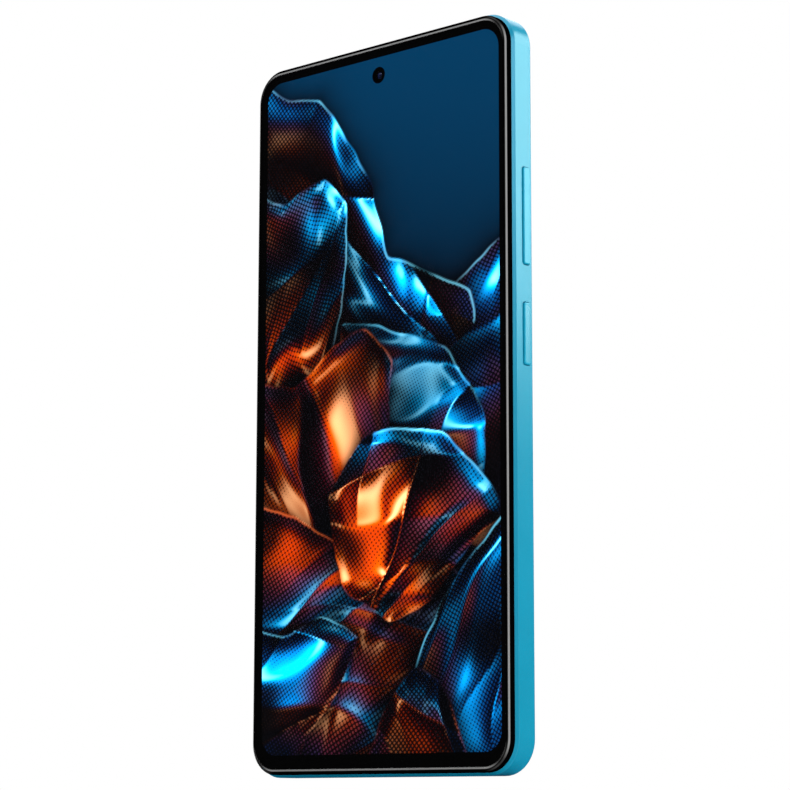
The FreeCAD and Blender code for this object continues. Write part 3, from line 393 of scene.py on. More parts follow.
def rim_place(tree):
    """Where a point of the front glass lies: millimetres behind its face, millimetres in from its
    outline, and 1 at the long sides or 0 at the two ends, turning over through each corner."""
    place = add(tree, "ShaderNodeSeparateXYZ", {0: object_place(tree)})
    drop = times(tree, minus(tree, place.outputs["Y"], GLASS_LOW.y), 1 / MM)
    middle_z = (GLASS_LOW.z + GLASS_HIGH.z) / 2
    straight_x = GLASS_HIGH.x - GLASS_CORNER_R
    straight_z = GLASS_HIGH.z - middle_z - GLASS_CORNER_R
    off_z = math_node(tree, "ABSOLUTE", minus(tree, place.outputs["Z"], middle_z))
    past_x = minus(tree, math_node(tree, "ABSOLUTE", place.outputs["X"]), straight_x)
    past_z = minus(tree, off_z, straight_z)
    squared_x = math_node(tree, "POWER", math_node(tree, "MAXIMUM", past_x, 0.0), 2.0)
    squared_z = math_node(tree, "POWER", math_node(tree, "MAXIMUM", past_z, 0.0), 2.0)
    total = plus(tree, squared_x, squared_z)
    inset = minus(tree, GLASS_CORNER_R, math_node(tree, "SQRT", total))
    sideways = math_node(tree, "DIVIDE", squared_x, math_node(tree, "MAXIMUM", total, 1e-12))
    return drop, times(tree, inset, 1 / MM), sideways


def tinted_back(name, colour):
    """Painted underside of a satin etched glass: soft sheen over a slightly clouded colour, with painted
    light that makes it lighter towards the top and darker towards the bottom.
    """
    material, output, tree = new_material(name)
    cloud = noise(tree, 30.0, 3.0)
    grain = noise(tree, 0.07, 2.0)
    # Painted light: the colour grows lighter towards the top, as if lit from above.
    height = add(tree, "ShaderNodeSeparateXYZ", {0: object_place(tree)}).outputs["Z"]
    top_light_share = ranged(tree, height, FRAME_LOW.z, FRAME_HIGH.z, 0.0, 1.0)
    base = blended(tree, top_light_share, scaled(colour, 0.85), scaled(colour, 1.15))
    base = blended(tree, times(tree, cloud, 0.2), base, rgba((0.03, 0.42, 0.55)))
    principled(tree, output, {
        "Base Color": base,
        "Roughness": ranged(tree, grain, 0.3, 0.7, 0.36, 0.46),
        "Metallic": 0.25,
        "Coat Weight": 0.3,
        "Coat Roughness": 0.3,
        "Normal": bump(tree, grain, 0.003, 0.5),
    })
    return material


def gloss_panel(name, colour):
    """Glossy back-painted glass plate with a faint smear."""
    material, output, tree = new_material(name)
    smear = noise(tree, 6.0, 4.0)
    principled(tree, output, {
        "Base Color": blended(tree, smear, scaled(colour, 0.85), scaled(colour, 1.15)),
        "Roughness": ranged(tree, smear, 0.3, 0.8, 0.06, 0.14),
        "Coat Weight": 0.8,
        "Coat Roughness": 0.04,
        "Normal": bump(tree, noise(tree, 0.6, 2.0), 0.001, 0.3),
    })
    return material


def coated_lens(name, tint):
    """Dark lens with an anti-reflection coating whose colour shifts across the dome: a painted reflection,
    the tint painted into the base colour where the dome turns away from the view.
    """
    material, output, tree = new_material(name)
    # Painted reflection: the coating's tint grows in the base colour where the surface turns away from the
    # view.
    rim_reflection_share = add(tree, "ShaderNodeLayerWeight", {"Blend": 0.35}).outputs["Facing"]
    colour = blended(tree, rim_reflection_share, rgba((0.004, 0.006, 0.012)), rgba(tint))
    principled(tree, output, {
        "Base Color": colour,
        "Roughness": ranged(tree, noise(tree, 1.0, 2.0), 0.3, 0.7, 0.02, 0.05),
        "Specular Tint": rgba((0.55, 0.65, 1.0)),
        "Coat Weight": 1.0,
        "Coat Roughness": 0.02,
        "Normal": bump(tree, noise(tree, 0.8, 1.0), 0.0005, 0.2),
    })
    return material


def rubber(name):
    material, output, tree = new_material(name)
    grain = noise(tree, 0.2, 3.0)
    principled(tree, output, {
        "Base Color": blended(tree, grain, rgba((0.010, 0.010, 0.011)), rgba((0.030, 0.030, 0.032))),
        "Roughness": ranged(tree, grain, 0.3, 0.7, 0.62, 0.8),
        "Normal": bump(tree, grain, 0.01, 0.5),
    })
    return material


def gold_plating(name):
    material, output, tree = new_material(name)
    grain = noise(tree, 0.15, 3.0)
    principled(tree, output, {
        "Base Color": blended(tree, grain, rgba((0.72, 0.48, 0.18)), rgba((0.95, 0.74, 0.38))),
        "Metallic": 1.0,
        "Roughness": ranged(tree, grain, 0.3, 0.7, 0.18, 0.34),
        "Normal": bump(tree, grain, 0.003, 0.5),
    })
    return material


def picture_material(name):
    """The lit picture: soft colours on the mesh, cut into fine woven dots that follow the folds."""
    material, output, tree = new_material(name)
    colour = add(tree, "ShaderNodeAttribute", attribute_name="cloth_colour").outputs["Color"]
    weave = add(tree, "ShaderNodeAttribute", attribute_name="weave_place").outputs["Vector"]
    parts = add(tree, "ShaderNodeSeparateXYZ", {0: weave})
    lit = parts.outputs["Z"]
    across = minus(tree, math_node(tree, "FRACT", parts.outputs["X"]), 0.5)
    along = minus(tree, math_node(tree, "FRACT", parts.outputs["Y"]), 0.5)
    squared = plus(tree, math_node(tree, "POWER", across, 2.0), math_node(tree, "POWER", along, 2.0))
    dot = minus(tree, 1.0, times(tree, math_node(tree, "SQRT", squared), 1.6))
    shown = ranged(tree, plus(tree, dot, lit), 0.78, 1.12, 0.06, 1.0, smooth=True)
    all_three = add(tree, "ShaderNodeCombineXYZ", {0: shown, 1: shown, 2: shown}).outputs[0]
    glow = vector_math(tree, "MULTIPLY", colour, all_three)
    principled(tree, output, {
        "Base Color": rgba((0.002, 0.002, 0.003)),
        "Roughness": ranged(tree, dot, 0, 1, 0.30, 0.36),
        "Specular IOR Level": 0.02,
        "Emission Color": glow,
        "Emission Strength": 1.0,
    })
    return material


# ---------------------------------------------------------------- mesh pieces

def mesh_piece(name, vertices, faces, body, material, smooth=True):
    mesh = bpy.data.meshes.new(name)
    mesh.from_pydata([tuple(v) for v in vertices], [], [tuple(f) for f in faces])
    mesh.polygons.foreach_set("use_smooth", [smooth] * len(mesh.polygons))
    mesh.materials.append(material)
    mesh.update()
    piece = bpy.data.objects.new(name, mesh)
    link(piece)
    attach(piece, body)
    return piece


def rounded_loop(x0, x1, z0, z1, r, steps=16):
    """Points of a rounded rectangle, anticlockwise seen from the front, as (x, z)."""
    centres = [(x1 - r, z0 + r, -90), (x1 - r, z1 - r, 0), (x0 + r, z1 - r, 90), (x0 + r, z0 + r, 180)]
    points = []
    for cx, cz, start in centres:
        for i in range(steps + 1):
            a = math.radians(start + 90 * i / steps)
            points.append((cx + r * math.cos(a), cz + r * math.sin(a)))
    return points


def circle_loop(cx, cz, r, steps):
    turns = [2 * math.pi * i / steps for i in range(steps)]
    return [(cx + r * math.cos(a), cz + r * math.sin(a)) for a in turns]


def flat_ring(outer, inner, y_front, y_back):
    """Closed thin ring between two loops with the same number of points."""
    count = len(outer)
    back = 2 * count
    vertices = []
    for y in (y_front, y_back):
        vertices += [(x, y, z) for x, z in outer] + [(x, y, z) for x, z in inner]
    faces = []
    for i in range(count):
        j = (i + 1) % count
        faces.append((i, j, count + j, count + i))
        faces.append((back + j, back + i, back + count + i, back + count + j))
        faces.append((j, i, back + i, back + j))
        faces.append((count + i, count + j, back + count + j, back + count + i))
    return vertices, faces


def joined(*pieces):
    vertices, faces = [], []
    for part_vertices, part_faces in pieces:
        base = len(vertices)
        vertices += part_vertices
        faces += [tuple(base + k for k in face) for face in part_faces]
    return vertices, faces


PRINT_FRONT_Y = GLASS_HIGH.y - 0.006 * MM
PRINT_BACK_Y = GLASS_HIGH.y - 0.002 * MM
PRINT_MARGIN = 0.06 * MM
PRINT_TOP_MARGIN = 0.5 * MM
PRINT_RING_STEPS = 64


def make_glass_print():
    """Black ink under the glass: the border round the picture and the ring round the front camera."""
    outer = rounded_loop(GLASS_LOW.x + PRINT_MARGIN, GLASS_HIGH.x - PRINT_MARGIN, GLASS_LOW.z + PRINT_MARGIN,
                         GLASS_HIGH.z - PRINT_TOP_MARGIN, GLASS_CORNER_R - PRINT_MARGIN)
    inner = rounded_loop(ACTIVE_X0, ACTIVE_X1, ACTIVE_Z0, ACTIVE_Z1, ACTIVE_CORNER_R)
    border = flat_ring(outer, inner, PRINT_FRONT_Y, PRINT_BACK_Y)
    hole_edge = circle_loop(SELFIE_X, SELFIE_Z, SELFIE_HOLE_R, PRINT_RING_STEPS)
    lens_edge = circle_loop(SELFIE_X, SELFIE_Z, SELFIE_PRINT_R, PRINT_RING_STEPS)
    vertices, faces = joined(border, flat_ring(hole_edge, lens_edge, PRINT_FRONT_Y, PRINT_BACK_Y))
    ink = moulded_plastic("black_ink", (0.0006, 0.0006, 0.0007), roughness=0.6, grain_mm=0.3, depth_mm=0.0005,
                          gloss=0.0)
    mesh_piece("glass_print", vertices, faces, MAIN_BODY, ink, smooth=False)


# ---------------------------------------------------------------- the picture on the display

GRID_STEP = 0.3 * MM
PICTURE_Y = PANEL_LOW.y - 0.008 * MM
ACTIVE_W = ACTIVE_X1 - ACTIVE_X0
ACTIVE_H = ACTIVE_Z1 - ACTIVE_Z0


def linear(r, g, b):
    """A colour given in display values from 0 to 255, as linear light."""
    s = np.array([r, g, b]) / 255.0
    return np.where(s <= 0.04045, s / 12.92, ((s + 0.055) / 1.055) ** 2.4)


# Lamps round the cloth. Each has the slope that faces it, the way its glow is drawn out, and its
# colours from a faint wide sheen to a hot core, each with a spread.
WARM_GLOW = [(linear(112, 20, 18), 0.42), (linear(236, 106, 44), 0.22), (linear(255, 230, 182), 0.10)]
COOL_GLOW = [(linear(0, 56, 112), 0.42), (linear(0, 176, 238), 0.21), (linear(190, 250, 255), 0.09)]
LAMPS = [
    ("warm", (-0.60, -0.30), 35, WARM_GLOW),
    ("warm", (0.15, -0.85), 80, WARM_GLOW),
    ("cool", (0.62, 0.48), -50, COOL_GLOW),
    ("cool", (-0.45, 0.85), 10, COOL_GLOW),
]
LAMP_STRETCH = 2.4
RIM_COOL = linear(120, 225, 255)
RIM_WARM = linear(235, 110, 50)
INK = linear(4, 3, 6)
BACKDROP_BELOW = linear(0, 18, 36)
BACKDROP_ABOVE = linear(0, 63, 102)
LOOP_SLACK = 0.20

# How the cloth is made. Lengths are in display widths, and slopes are on the scale of the lamps' places.
OUTLINE_WOBBLE = 0.010
CAST_SHADOW_REACH = 0.05
CAST_SHADOW_DEPTH = 0.85
OUTLINE_SOFTNESS = 0.0025
HEM_WIDTH = 0.03
HEM_SLOPE = 0.75
HEM_LINE_WIDTH = 0.0035
SATURATION = 1.20
SHEET_CREASES = 20
CREASE_SPREAD_DEGREES = 24
CREASE_SCATTER = 0.38
CREASE_TURNS = [0.004, 0.012, 0.035]
CREASE_LENGTH = (0.14, 0.42)
CREASE_HEIGHT = (0.4, 1.1)
CREASE_WIDTH = 0.10


def smooth_loop(points, steps=8):
    """Closed curve through the given points, nearly straight between them."""
    p = np.array(points, float)
    t = np.linspace(0, 1, steps, endpoint=False)[:, None]
    out = []
    for i in range(len(p)):
        a, b, c, d = p[i - 1], p[i], p[(i + 1) % len(p)], p[(i + 2) % len(p)]
        leave, arrive = (c - a) * LOOP_SLACK, (d - b) * LOOP_SLACK
        rise = 3 * t**2 - 2 * t**3
        out.append(b + (c - b) * rise + leave * (t - 2 * t**2 + t**3) + arrive * (t**3 - t**2))
    return np.concatenate(out)


def signed_distance(u, v, loop):
    """Distance of each point from the loop, negative inside, and the direction outwards."""
    best = np.full(u.shape, 9.0)
    nx = np.zeros(u.shape)
    ny = np.zeros(u.shape)
    inside = np.zeros(u.shape, bool)
    for (ax, ay), (bx, by) in zip(loop, np.roll(loop, -1, 0)):
        ex, ey = bx - ax, by - ay
        t = np.clip(((u - ax) * ex + (v - ay) * ey) / (ex * ex + ey * ey), 0, 1)
        dx, dy = u - ax - t * ex, v - ay - t * ey
        d = np.hypot(dx, dy)
        near = d < best
        best = np.where(near, d, best)
        nx, ny = np.where(near, dx, nx), np.where(near, dy, ny)
        if ey != 0:
            inside ^= ((ay > v) != (by > v)) & (u < ax + (v - ay) * ex / ey)
    sign = np.where(inside, -1.0, 1.0)
    length = np.maximum(np.hypot(nx, ny), 1e-9)
    return best * sign, nx / length * sign, ny / length * sign


def step_up(low, high, value):
    t = np.clip((value - low) / (high - low), 0, 1)
    return t * t * (3 - 2 * t)


def ripples(u, v, seed, size, octaves=3):
    """Smooth random waves: a few sines at random angles in each octave."""
    source = np.random.default_rng(seed)
    total = np.zeros(u.shape)
    for octave in range(octaves):
        for _ in range(4):
            angle, phase = source.uniform(0, 2 * math.pi, 2)
            reach = 2 ** octave / size
            turns = (u * math.cos(angle) + v * math.sin(angle)) * reach
            total += np.sin(turns * 2 * math.pi + phase) / 2 ** octave
    return total / 4


def pool(u, v, spot):
    """Soft patch, 1 in its middle: (u, v, half length, half width, turn in degrees, strength)."""
    cu, cv, long, wide, degrees, power = spot
    turn = math.radians(degrees)
    a = ((u - cu) * math.cos(turn) + (v - cv) * math.sin(turn)) / long
    b = (-(u - cu) * math.sin(turn) + (v - cv) * math.cos(turn)) / wide
    return power * np.exp(-(a * a + b * b))


# Sheets of cloth, from the back to the front. u runs from the left side of the display and v up from
# its bottom, both in display widths, so v reaches 2.22 at the top. fold is the way its creases run in
# degrees, base is how far its dots are filled in the dark, rim and rim_from are the colour of its bright
# outline and the side it shows on, pitch is dots to a display width, and hem is how wide its edge curls.
SHEETS = [
    dict(fold=58, seed=12, base=0.25, rim=RIM_COOL, rim_from=(-0.5, 0.85), pitch=84, hem=0.08, loop=[
        (0.62, 1.16), (0.76, 1.40), (0.92, 1.50), (1.10, 1.56), (1.10, 0.60), (0.80, 0.66), (0.70, 0.90)]),
    dict(fold=-56, seed=26, base=0.16, rim=RIM_COOL, rim_from=(0.8, 0.55), pitch=80, hem=0.06, loop=[
        (-0.1, 2.22), (0.10, 2.16), (0.24, 2.13), (0.36, 1.97), (0.47, 1.80), (0.55, 1.56), (0.70, 1.50),
        (0.88, 1.40), (0.90, 1.30), (0.74, 1.20), (0.48, 1.26), (0.20, 1.40), (-0.1, 1.50)]),
    dict(fold=66, seed=35, base=0.18, rim=RIM_COOL, rim_from=(0.9, 0.2), pitch=78, loop=[
        (-0.1, 1.86), (0.08, 1.80), (0.26, 1.86), (0.36, 1.76), (0.36, 1.50), (0.30, 1.28), (0.16, 1.16),
        (-0.1, 1.18)]),
    dict(fold=24, seed=44, base=0.30, rim=RIM_COOL, rim_from=(0.2, 0.95), pitch=96, loop=[
        (0.34, 1.36), (0.56, 1.32), (0.78, 1.24), (0.94, 1.02), (0.92, 0.74), (0.60, 0.70), (0.38, 0.90)]),
    dict(fold=-58, seed=58, base=0.26, rim=RIM_WARM, rim_from=(0.7, 0.5), pitch=80, loop=[
        (-0.1, 1.22), (0.14, 1.18), (0.30, 1.30), (0.44, 1.34), (0.56, 1.22), (0.54, 0.98), (0.44, 0.74),
        (0.22, 0.60), (-0.1, 0.84)]),
    dict(fold=28, seed=66, base=0.20, rim=RIM_WARM, rim_from=(-0.1, 0.95), pitch=74, loop=[
        (-0.1, 0.80), (0.18, 0.74), (0.44, 0.62), (0.70, 0.62), (0.86, 0.50), (0.74, 0.12), (0.62, -0.1),
        (-0.1, -0.1)]),
    dict(fold=34, seed=73, base=0.22, rim=RIM_COOL, rim_from=(0.25, 0.95), pitch=76, loop=[
        (0.28, 0.80), (0.44, 0.98), (0.56, 1.01), (0.76, 0.97), (0.96, 0.80), (1.00, 0.70), (0.88, 0.62),
        (0.74, 0.48), (0.56, 0.40), (0.36, 0.52)]),
    dict(fold=30, seed=82, base=0.18, rim=RIM_COOL, rim_from=(0.4, 0.9), pitch=84, loop=[
        (-0.1, 0.40), (0.10, 0.38), (0.26, 0.44), (0.42, 0.36), (0.34, 0.20), (0.20, 0.06), (0.12, -0.1),
        (-0.1, -0.1)]),
    dict(fold=62, seed=95, base=0.24, rim=RIM_COOL, rim_from=(-0.85, 0.5), pitch=84, loop=[
        (0.66, 0.24), (0.76, 0.46), (0.94, 0.64), (1.10, 0.74), (1.10, -0.1), (0.84, -0.1), (0.74, 0.06)]),
    dict(fold=-48, seed=101, base=0.14, rim=RIM_WARM, rim_from=(0.8, 0.3), pitch=78, loop=[
        (0.44, -0.1), (0.52, 0.12), (0.66, 0.26), (0.80, 0.16), (0.88, -0.1)]),
]

WARM_SPOTS = [
    (0.12, 1.84, 0.16, 0.12, -40, 0.35), (0.12, 1.28, 0.12, 0.08, 10, 1.0), (0.30, 1.22, 0.10, 0.07, 0, 0.5),
    (0.20, 1.02, 0.17, 0.30, 30, 1.35), (0.34, 0.86, 0.07, 0.16, 20, 1.3), (0.48, 1.16, 0.07, 0.10, 0, 0.5),
    (0.62, 1.16, 0.20, 0.05, -20, 0.25), (0.60, 0.76, 0.24, 0.11, 30, 1.7), (0.84, 0.68, 0.10, 0.06, 10, 1.6),
    (0.16, 0.66, 0.28, 0.09, -20, 2.1), (0.52, 0.50, 0.26, 0.09, -8, 1.7), (0.42, 0.20, 0.22, 0.16, 20, 0.45),
    (0.72, 0.08, 0.14, 0.10, -40, 0.45),
]
COOL_SPOTS = [
    (0.14, 2.08, 0.18, 0.12, -20, 2.4), (0.42, 1.80, 0.09, 0.32, 28, 2.6), (0.62, 1.46, 0.26, 0.09, -18, 2.6),
    (0.24, 1.72, 0.16, 0.12, 20, 1.6), (0.92, 1.36, 0.16, 0.16, 40, 3.4), (0.95, 1.05, 0.08, 0.26, -8, 2.2),
    (0.66, 1.06, 0.24, 0.16, 10, 2.0), (0.44, 1.04, 0.05, 0.16, 24, 1.4), (0.80, 0.86, 0.10, 0.14, -20, 1.8),
    (0.96, 0.50, 0.12, 0.22, -10, 2.2), (0.92, 0.14, 0.14, 0.24, 20, 3.4), (0.12, 0.20, 0.28, 0.22, 20, 3.2),
    (0.34, 0.34, 0.16, 0.09, 10, 2.6), (0.30, 0.52, 0.20, 0.05, -20, 1.2),
]


def paint_cloth(u, v):
    """Colour, weave place and how lit each point is, from the backdrop to the front sheet."""
    share = step_up(1.1, 2.5, v + 0.2 * u)[..., None]
    colour = BACKDROP_BELOW * (1 - share) + BACKDROP_ABOVE * share
    weave = np.stack([u * 60, v * 60], -1)
    lit = np.full(u.shape, 1.4)
    warm = 0.05 + sum(pool(u, v, spot) for spot in WARM_SPOTS)
    cool = 0.08 + sum(pool(u, v, spot) for spot in COOL_SPOTS)
    cool = cool / (1 + 1.5 * warm)
    for sheet in SHEETS:
        colour, weave, lit = paint_sheet(sheet, u, v, colour, weave, lit, warm, cool)
    return colour, weave, lit


def paint_sheet(sheet, u, v, colour, weave, lit, warm, cool):
    """One more sheet over what is there: it darkens what lies round it and covers what lies under it."""
    du = u + OUTLINE_WOBBLE * ripples(u, v, sheet["seed"] + 1, 0.30)
    dv = v + OUTLINE_WOBBLE * ripples(u, v, sheet["seed"] + 2, 0.30)
    distance, nx, ny = signed_distance(du, dv, smooth_loop(sheet["loop"]))
    shadow = np.exp(-np.maximum(distance, 0) / CAST_SHADOW_REACH) * CAST_SHADOW_DEPTH
    colour = colour * (1 - shadow * (distance > 0))[..., None]
    cover = step_up(OUTLINE_SOFTNESS, -OUTLINE_SOFTNESS, distance)
    inside, inside_lit, inside_weave = shade_sheet(sheet, u, v, distance, (nx, ny), warm, cool)
    colour = colour * (1 - cover[..., None]) + inside * cover[..., None]
    weave = np.where(cover[..., None] > 0.5, inside_weave, weave)
    return colour, weave, lit * (1 - cover) + inside_lit * cover


def fold_slope(sheet, u, v):
    """Slope of a sheet that is creased along many bent lines: flat facets with soft or sharp turns."""
    source = np.random.default_rng(sheet["seed"])
    middle = np.array(sheet["loop"]).mean(0)
    slope = np.zeros((2, *u.shape))
    bend = 0.05 * ripples(u, v, sheet["seed"] + 3, 0.7, 2)
    for _ in range(SHEET_CREASES):
        angle = math.radians(sheet["fold"] + source.normal(0, CREASE_SPREAD_DEGREES))
        across = np.array([-math.sin(angle), math.cos(angle)])
        place = middle + source.uniform(-CREASE_SCATTER, CREASE_SCATTER, 2)
        away = (u - place[0]) * across[0] + (v - place[1]) * across[1] + bend
        along = (u - place[0]) * across[1] - (v - place[1]) * across[0]
        turn = source.choice(CREASE_TURNS)
        reach = source.uniform(*CREASE_LENGTH)
        height = source.uniform(*CREASE_HEIGHT) * source.choice([-1, 1])
        profile = np.tanh(away / turn) * np.exp(-np.abs(away) / CREASE_WIDTH) * np.exp(-(along / reach) ** 2)
        slope += height * profile * across[:, None, None]
    gentle = ripples(u, v, sheet["seed"] + 4, 0.5, 2), ripples(u, v, sheet["seed"] + 5, 0.5, 2)
    return slope * 1.15 + 0.42 * np.array(gentle)


def shade_sheet(sheet, u, v, distance, outward, warm, cool):
    """Satin: each point takes the colour of the lamp that its slope faces, and black between them."""
    slope = fold_slope(sheet, u, v)
    width = sheet.get("hem", HEM_WIDTH)
    hem = np.exp(-((distance + 0.7 * width) / width) ** 2) * HEM_SLOPE
    slope = slope + hem * np.array(outward)
    colour = np.broadcast_to(INK, (*u.shape, 3)).copy()
    amounts = {"warm": warm, "cool": cool}
    for side, place, degrees, glow in LAMPS:
        turn = math.radians(degrees)
        away = slope - np.array(place)[:, None, None]
        long = (away[0] * math.cos(turn) + away[1] * math.sin(turn)) / LAMP_STRETCH
        short = away[1] * math.cos(turn) - away[0] * math.sin(turn)
        apart = long ** 2 + short ** 2
        for tint, spread in glow:
            colour += tint * (np.exp(-apart / (2 * spread * spread)) * amounts[side])[..., None]
    gloom = step_up(-0.75, 0.55, ripples(u, v, sheet["seed"] + 7, 0.40, 2))
    colour *= (0.10 + 1.10 * gloom)[..., None]
    grey = colour.mean(-1, keepdims=True)
    colour = np.maximum(grey + SATURATION * (colour - grey), 0.0)
    facing = np.clip(outward[0] * sheet["rim_from"][0] + outward[1] * sheet["rim_from"][1], 0, 1)
    broken = step_up(-0.6, 0.5, ripples(u, v, sheet["seed"] + 6, 0.35, 2))
    line = np.exp(-((distance + 0.004) / HEM_LINE_WIDTH) ** 2) * facing ** 2 * broken
    colour += sheet["rim"] * line[..., None]
    brightness = colour @ np.array([0.3, 0.5, 0.2])
    lit = sheet["base"] + 0.90 * np.clip(brightness, 0, 1) ** 0.48 + 0.8 * line
    turn = math.radians(sheet["fold"])
    along = u * math.cos(turn) + v * math.sin(turn)
    across = v * math.cos(turn) - u * math.sin(turn)
    drape = 0.010 * slope
    weave = np.stack([(along + drape[0]) * sheet["pitch"], (across + drape[1]) * sheet["pitch"]], -1)
    return colour, lit, weave


def make_picture():
    """The display's picture: a fine grid that carries the cloth's colour and the place in its weave."""
    columns = int(round(ACTIVE_W / GRID_STEP)) + 1
    rows = int(round(ACTIVE_H / GRID_STEP)) + 1
    xs = np.linspace(ACTIVE_X0, ACTIVE_X1, columns)
    zs = np.linspace(ACTIVE_Z0, ACTIVE_Z1, rows)
    x, z = np.meshgrid(xs, zs)
    u = (x - ACTIVE_X0) / ACTIVE_W
    v = (z - ACTIVE_Z0) / ACTIVE_W
    colour, weave, lit = paint_cloth(u, v)
    vertices = np.stack([x, np.full(x.shape, PICTURE_Y), z], -1).reshape(-1, 3)
    index = np.arange(rows * columns).reshape(rows, columns)
    quads = np.stack([index[:-1, :-1], index[:-1, 1:], index[1:, 1:], index[1:, :-1]], -1).reshape(-1, 4)
    centres = vertices[quads].mean(1)
    quads = quads[picture_shows(centres[:, 0], centres[:, 2])]
    used = np.unique(quads)
    renumber = np.zeros(len(vertices), int)
    renumber[used] = np.arange(len(used))
    piece = mesh_piece("display_picture", vertices[used], renumber[quads], MAIN_BODY,
                       picture_material("lit_picture"))
    shades = piece.data.attributes.new("cloth_colour", "FLOAT_COLOR", "POINT")
    full = np.concatenate([colour, np.ones((*u.shape, 1))], -1).reshape(-1, 4)[used]
    shades.data.foreach_set("color", full.astype(np.float32).ravel())
    places = piece.data.attributes.new("weave_place", "FLOAT_VECTOR", "POINT")
    packed = np.concatenate([weave, lit[..., None]], -1).reshape(-1, 3)[used]
    places.data.foreach_set("vector", packed.astype(np.float32).ravel())


def picture_shows(x, z):
    """True inside the display's rounded corners and outside the front camera's hole."""
    r = ACTIVE_CORNER_R
    dx = np.maximum(np.abs(x) - (ACTIVE_X1 - r), 0)
    dz = np.maximum(np.maximum(ACTIVE_Z0 + r - z, z - (ACTIVE_Z1 - r)), 0)
    in_corner = np.hypot(dx, dz) < r + GRID_STEP
    in_hole = np.hypot(x - SELFIE_X, z - SELFIE_Z) < SELFIE_HOLE_R - 0.6 * GRID_STEP
    return in_corner & ~in_hole


# ---------------------------------------------------------------- lens and port details

def strip(a, b, steps):
    """Faces between two closed loops of points that start at a and at b."""
    return [(a + j, b + j, b + (j + 1) % steps, a + (j + 1) % steps) for j in range(steps)]


def dome(at, r, y_rim, y_top, rings=10, steps=48):
    """Shallow dome along Y with a closed flat underside, at the (x, z) place."""
    vertices = [(at[0], y_top, at[1])]
    for i in range(1, rings + 1):
        share = i / rings
        y = y_rim + (y_top - y_rim) * math.sqrt(max(0.0, 1 - share * share))
        vertices += [(x, y, z) for x, z in circle_loop(at[0], at[1], r * share, steps)]
    faces = [(0, 1 + j, 1 + (j + 1) % steps) for j in range(steps)]
    for i in range(rings - 1):
        faces += strip(1 + i * steps, 1 + (i + 1) * steps, steps)
    last = 1 + (rings - 1) * steps
    faces.append(tuple(last + j for j in reversed(range(steps))))
    return vertices, faces


def centre_of(node):
    low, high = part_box(node)
    return (low.x + high.x) / 2, (low.z + high.z) / 2


# Name, the node it sits in, the body it rides on, radius and bulge in mm, and the coating's colour, painted
# as a reflection towards the dome's rim.
LENS_ELEMENTS = [
    ("main", "main_camera_barrel", "focus_barrel", 2.9, 0.45, (0.05, 0.02, 0.16)),
    ("ultrawide", "ultrawide_camera", MAIN_BODY, 2.1, 0.28, (0.02, 0.08, 0.12)),
    ("macro", "macro_camera", MAIN_BODY, 1.35, 0.28, (0.10, 0.03, 0.10)),
]
LENS_RECESS = 0.12 * MM


def make_lens_elements():
    """Front glass element of each rear camera, just behind its window."""
    for name, barrel, body, radius, bulge, tint in LENS_ELEMENTS:
        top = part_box(barrel)[1].y - LENS_RECESS
        vertices, faces = dome(centre_of(barrel), radius * MM, top - bulge * MM, top)
        mesh_piece(name + "_lens_element", vertices, faces, body,
                   coated_lens(name + "_coating_painted_reflection", tint))


TONGUE_HALF_T = 0.35 * MM
CONTACTS = 12
CONTACT_PITCH = 0.5 * MM
CONTACT_WIDTH = 0.25 * MM
CONTACT_RISE = 0.03 * MM
CONTACT_SETBACK = 0.35 * MM
LONG_CONTACTS = (0, 3, 8, 11)


def make_usb_contacts(gold):
    """Twelve gold pads on each side of the port's tongue, the power ones longer."""
    z0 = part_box("usb_c_tongue")[0].z + CONTACT_SETBACK
    pads = []
    for side in (-1, 1):
        for i in range(CONTACTS):
            x = (i - (CONTACTS - 1) / 2) * CONTACT_PITCH
            z1 = z0 + (2.6 if i in LONG_CONTACTS else 2.2) * MM
            pads.append(raised_pad(x, CONTACT_WIDTH, side * TONGUE_HALF_T, side * CONTACT_RISE, z0, z1))
    vertices, faces = joined(*pads)
    mesh_piece("usb_c_contacts", vertices, faces, MAIN_BODY, gold, smooth=False)


def raised_pad(x, width, y, rise, z0, z1):
    """Low pad on the tongue with a chamfered top."""
    x0, x1 = x - width / 2, x + width / 2
    edge = abs(rise)
    base = [(x0, z0), (x1, z0), (x1, z1), (x0, z1)]
    top = [(x0 + edge, z0 + edge), (x1 - edge, z0 + edge), (x1 - edge, z1 - edge), (x0 + edge, z1 - edge)]
    vertices = [(px, y, pz) for px, pz in base] + [(px, y + rise, pz) for px, pz in top]
    faces = [(3, 2, 1, 0), (4, 5, 6, 7)] + [(i, (i + 1) % 4, 4 + (i + 1) % 4, 4 + i) for i in range(4)]
    if rise < 0:
        faces = [face[::-1] for face in faces]
    return vertices, faces


FLASH_RINGS = 9
FLASH_STEPS = 64
FLASH_CLEARANCE = 0.02 * MM
FLASH_GROOVE = 0.10 * MM


def make_flash_lens(flash):
    """Flash window moulded with concentric prisms."""
    at = centre_of("flash_window")
    low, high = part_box("flash_window")
    r = (high.x - low.x) / 2 - FLASH_CLEARANCE
    crest = high.y - FLASH_CLEARANCE
    profile = []
    for i in range(FLASH_RINGS):
        profile.append((r * (i + 0.02) / FLASH_RINGS, high.y - FLASH_GROOVE))
        profile.append((r * (i + 0.85) / FLASH_RINGS, crest))
    profile += [(r, crest), (r, low.y)]
    vertices = []
    for radius, y in profile:
        vertices += [(x, y, z) for x, z in circle_loop(at[0], at[1], radius, FLASH_STEPS)]
    faces = []
    for k in range(len(profile) - 1):
        faces += strip(k * FLASH_STEPS, (k + 1) * FLASH_STEPS, FLASH_STEPS)
    faces.append(tuple(reversed(range(FLASH_STEPS))))
    last = (len(profile) - 1) * FLASH_STEPS
    faces.append(tuple(last + j for j in range(FLASH_STEPS)))
    lens = mesh_piece("flash_lens", vertices, faces, MAIN_BODY, flash, smooth=False)
    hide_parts("flash_window")


# ---------------------------------------------------------------- finishes for the CAD nodes

PAINT = (0.0008, 0.31, 0.50)


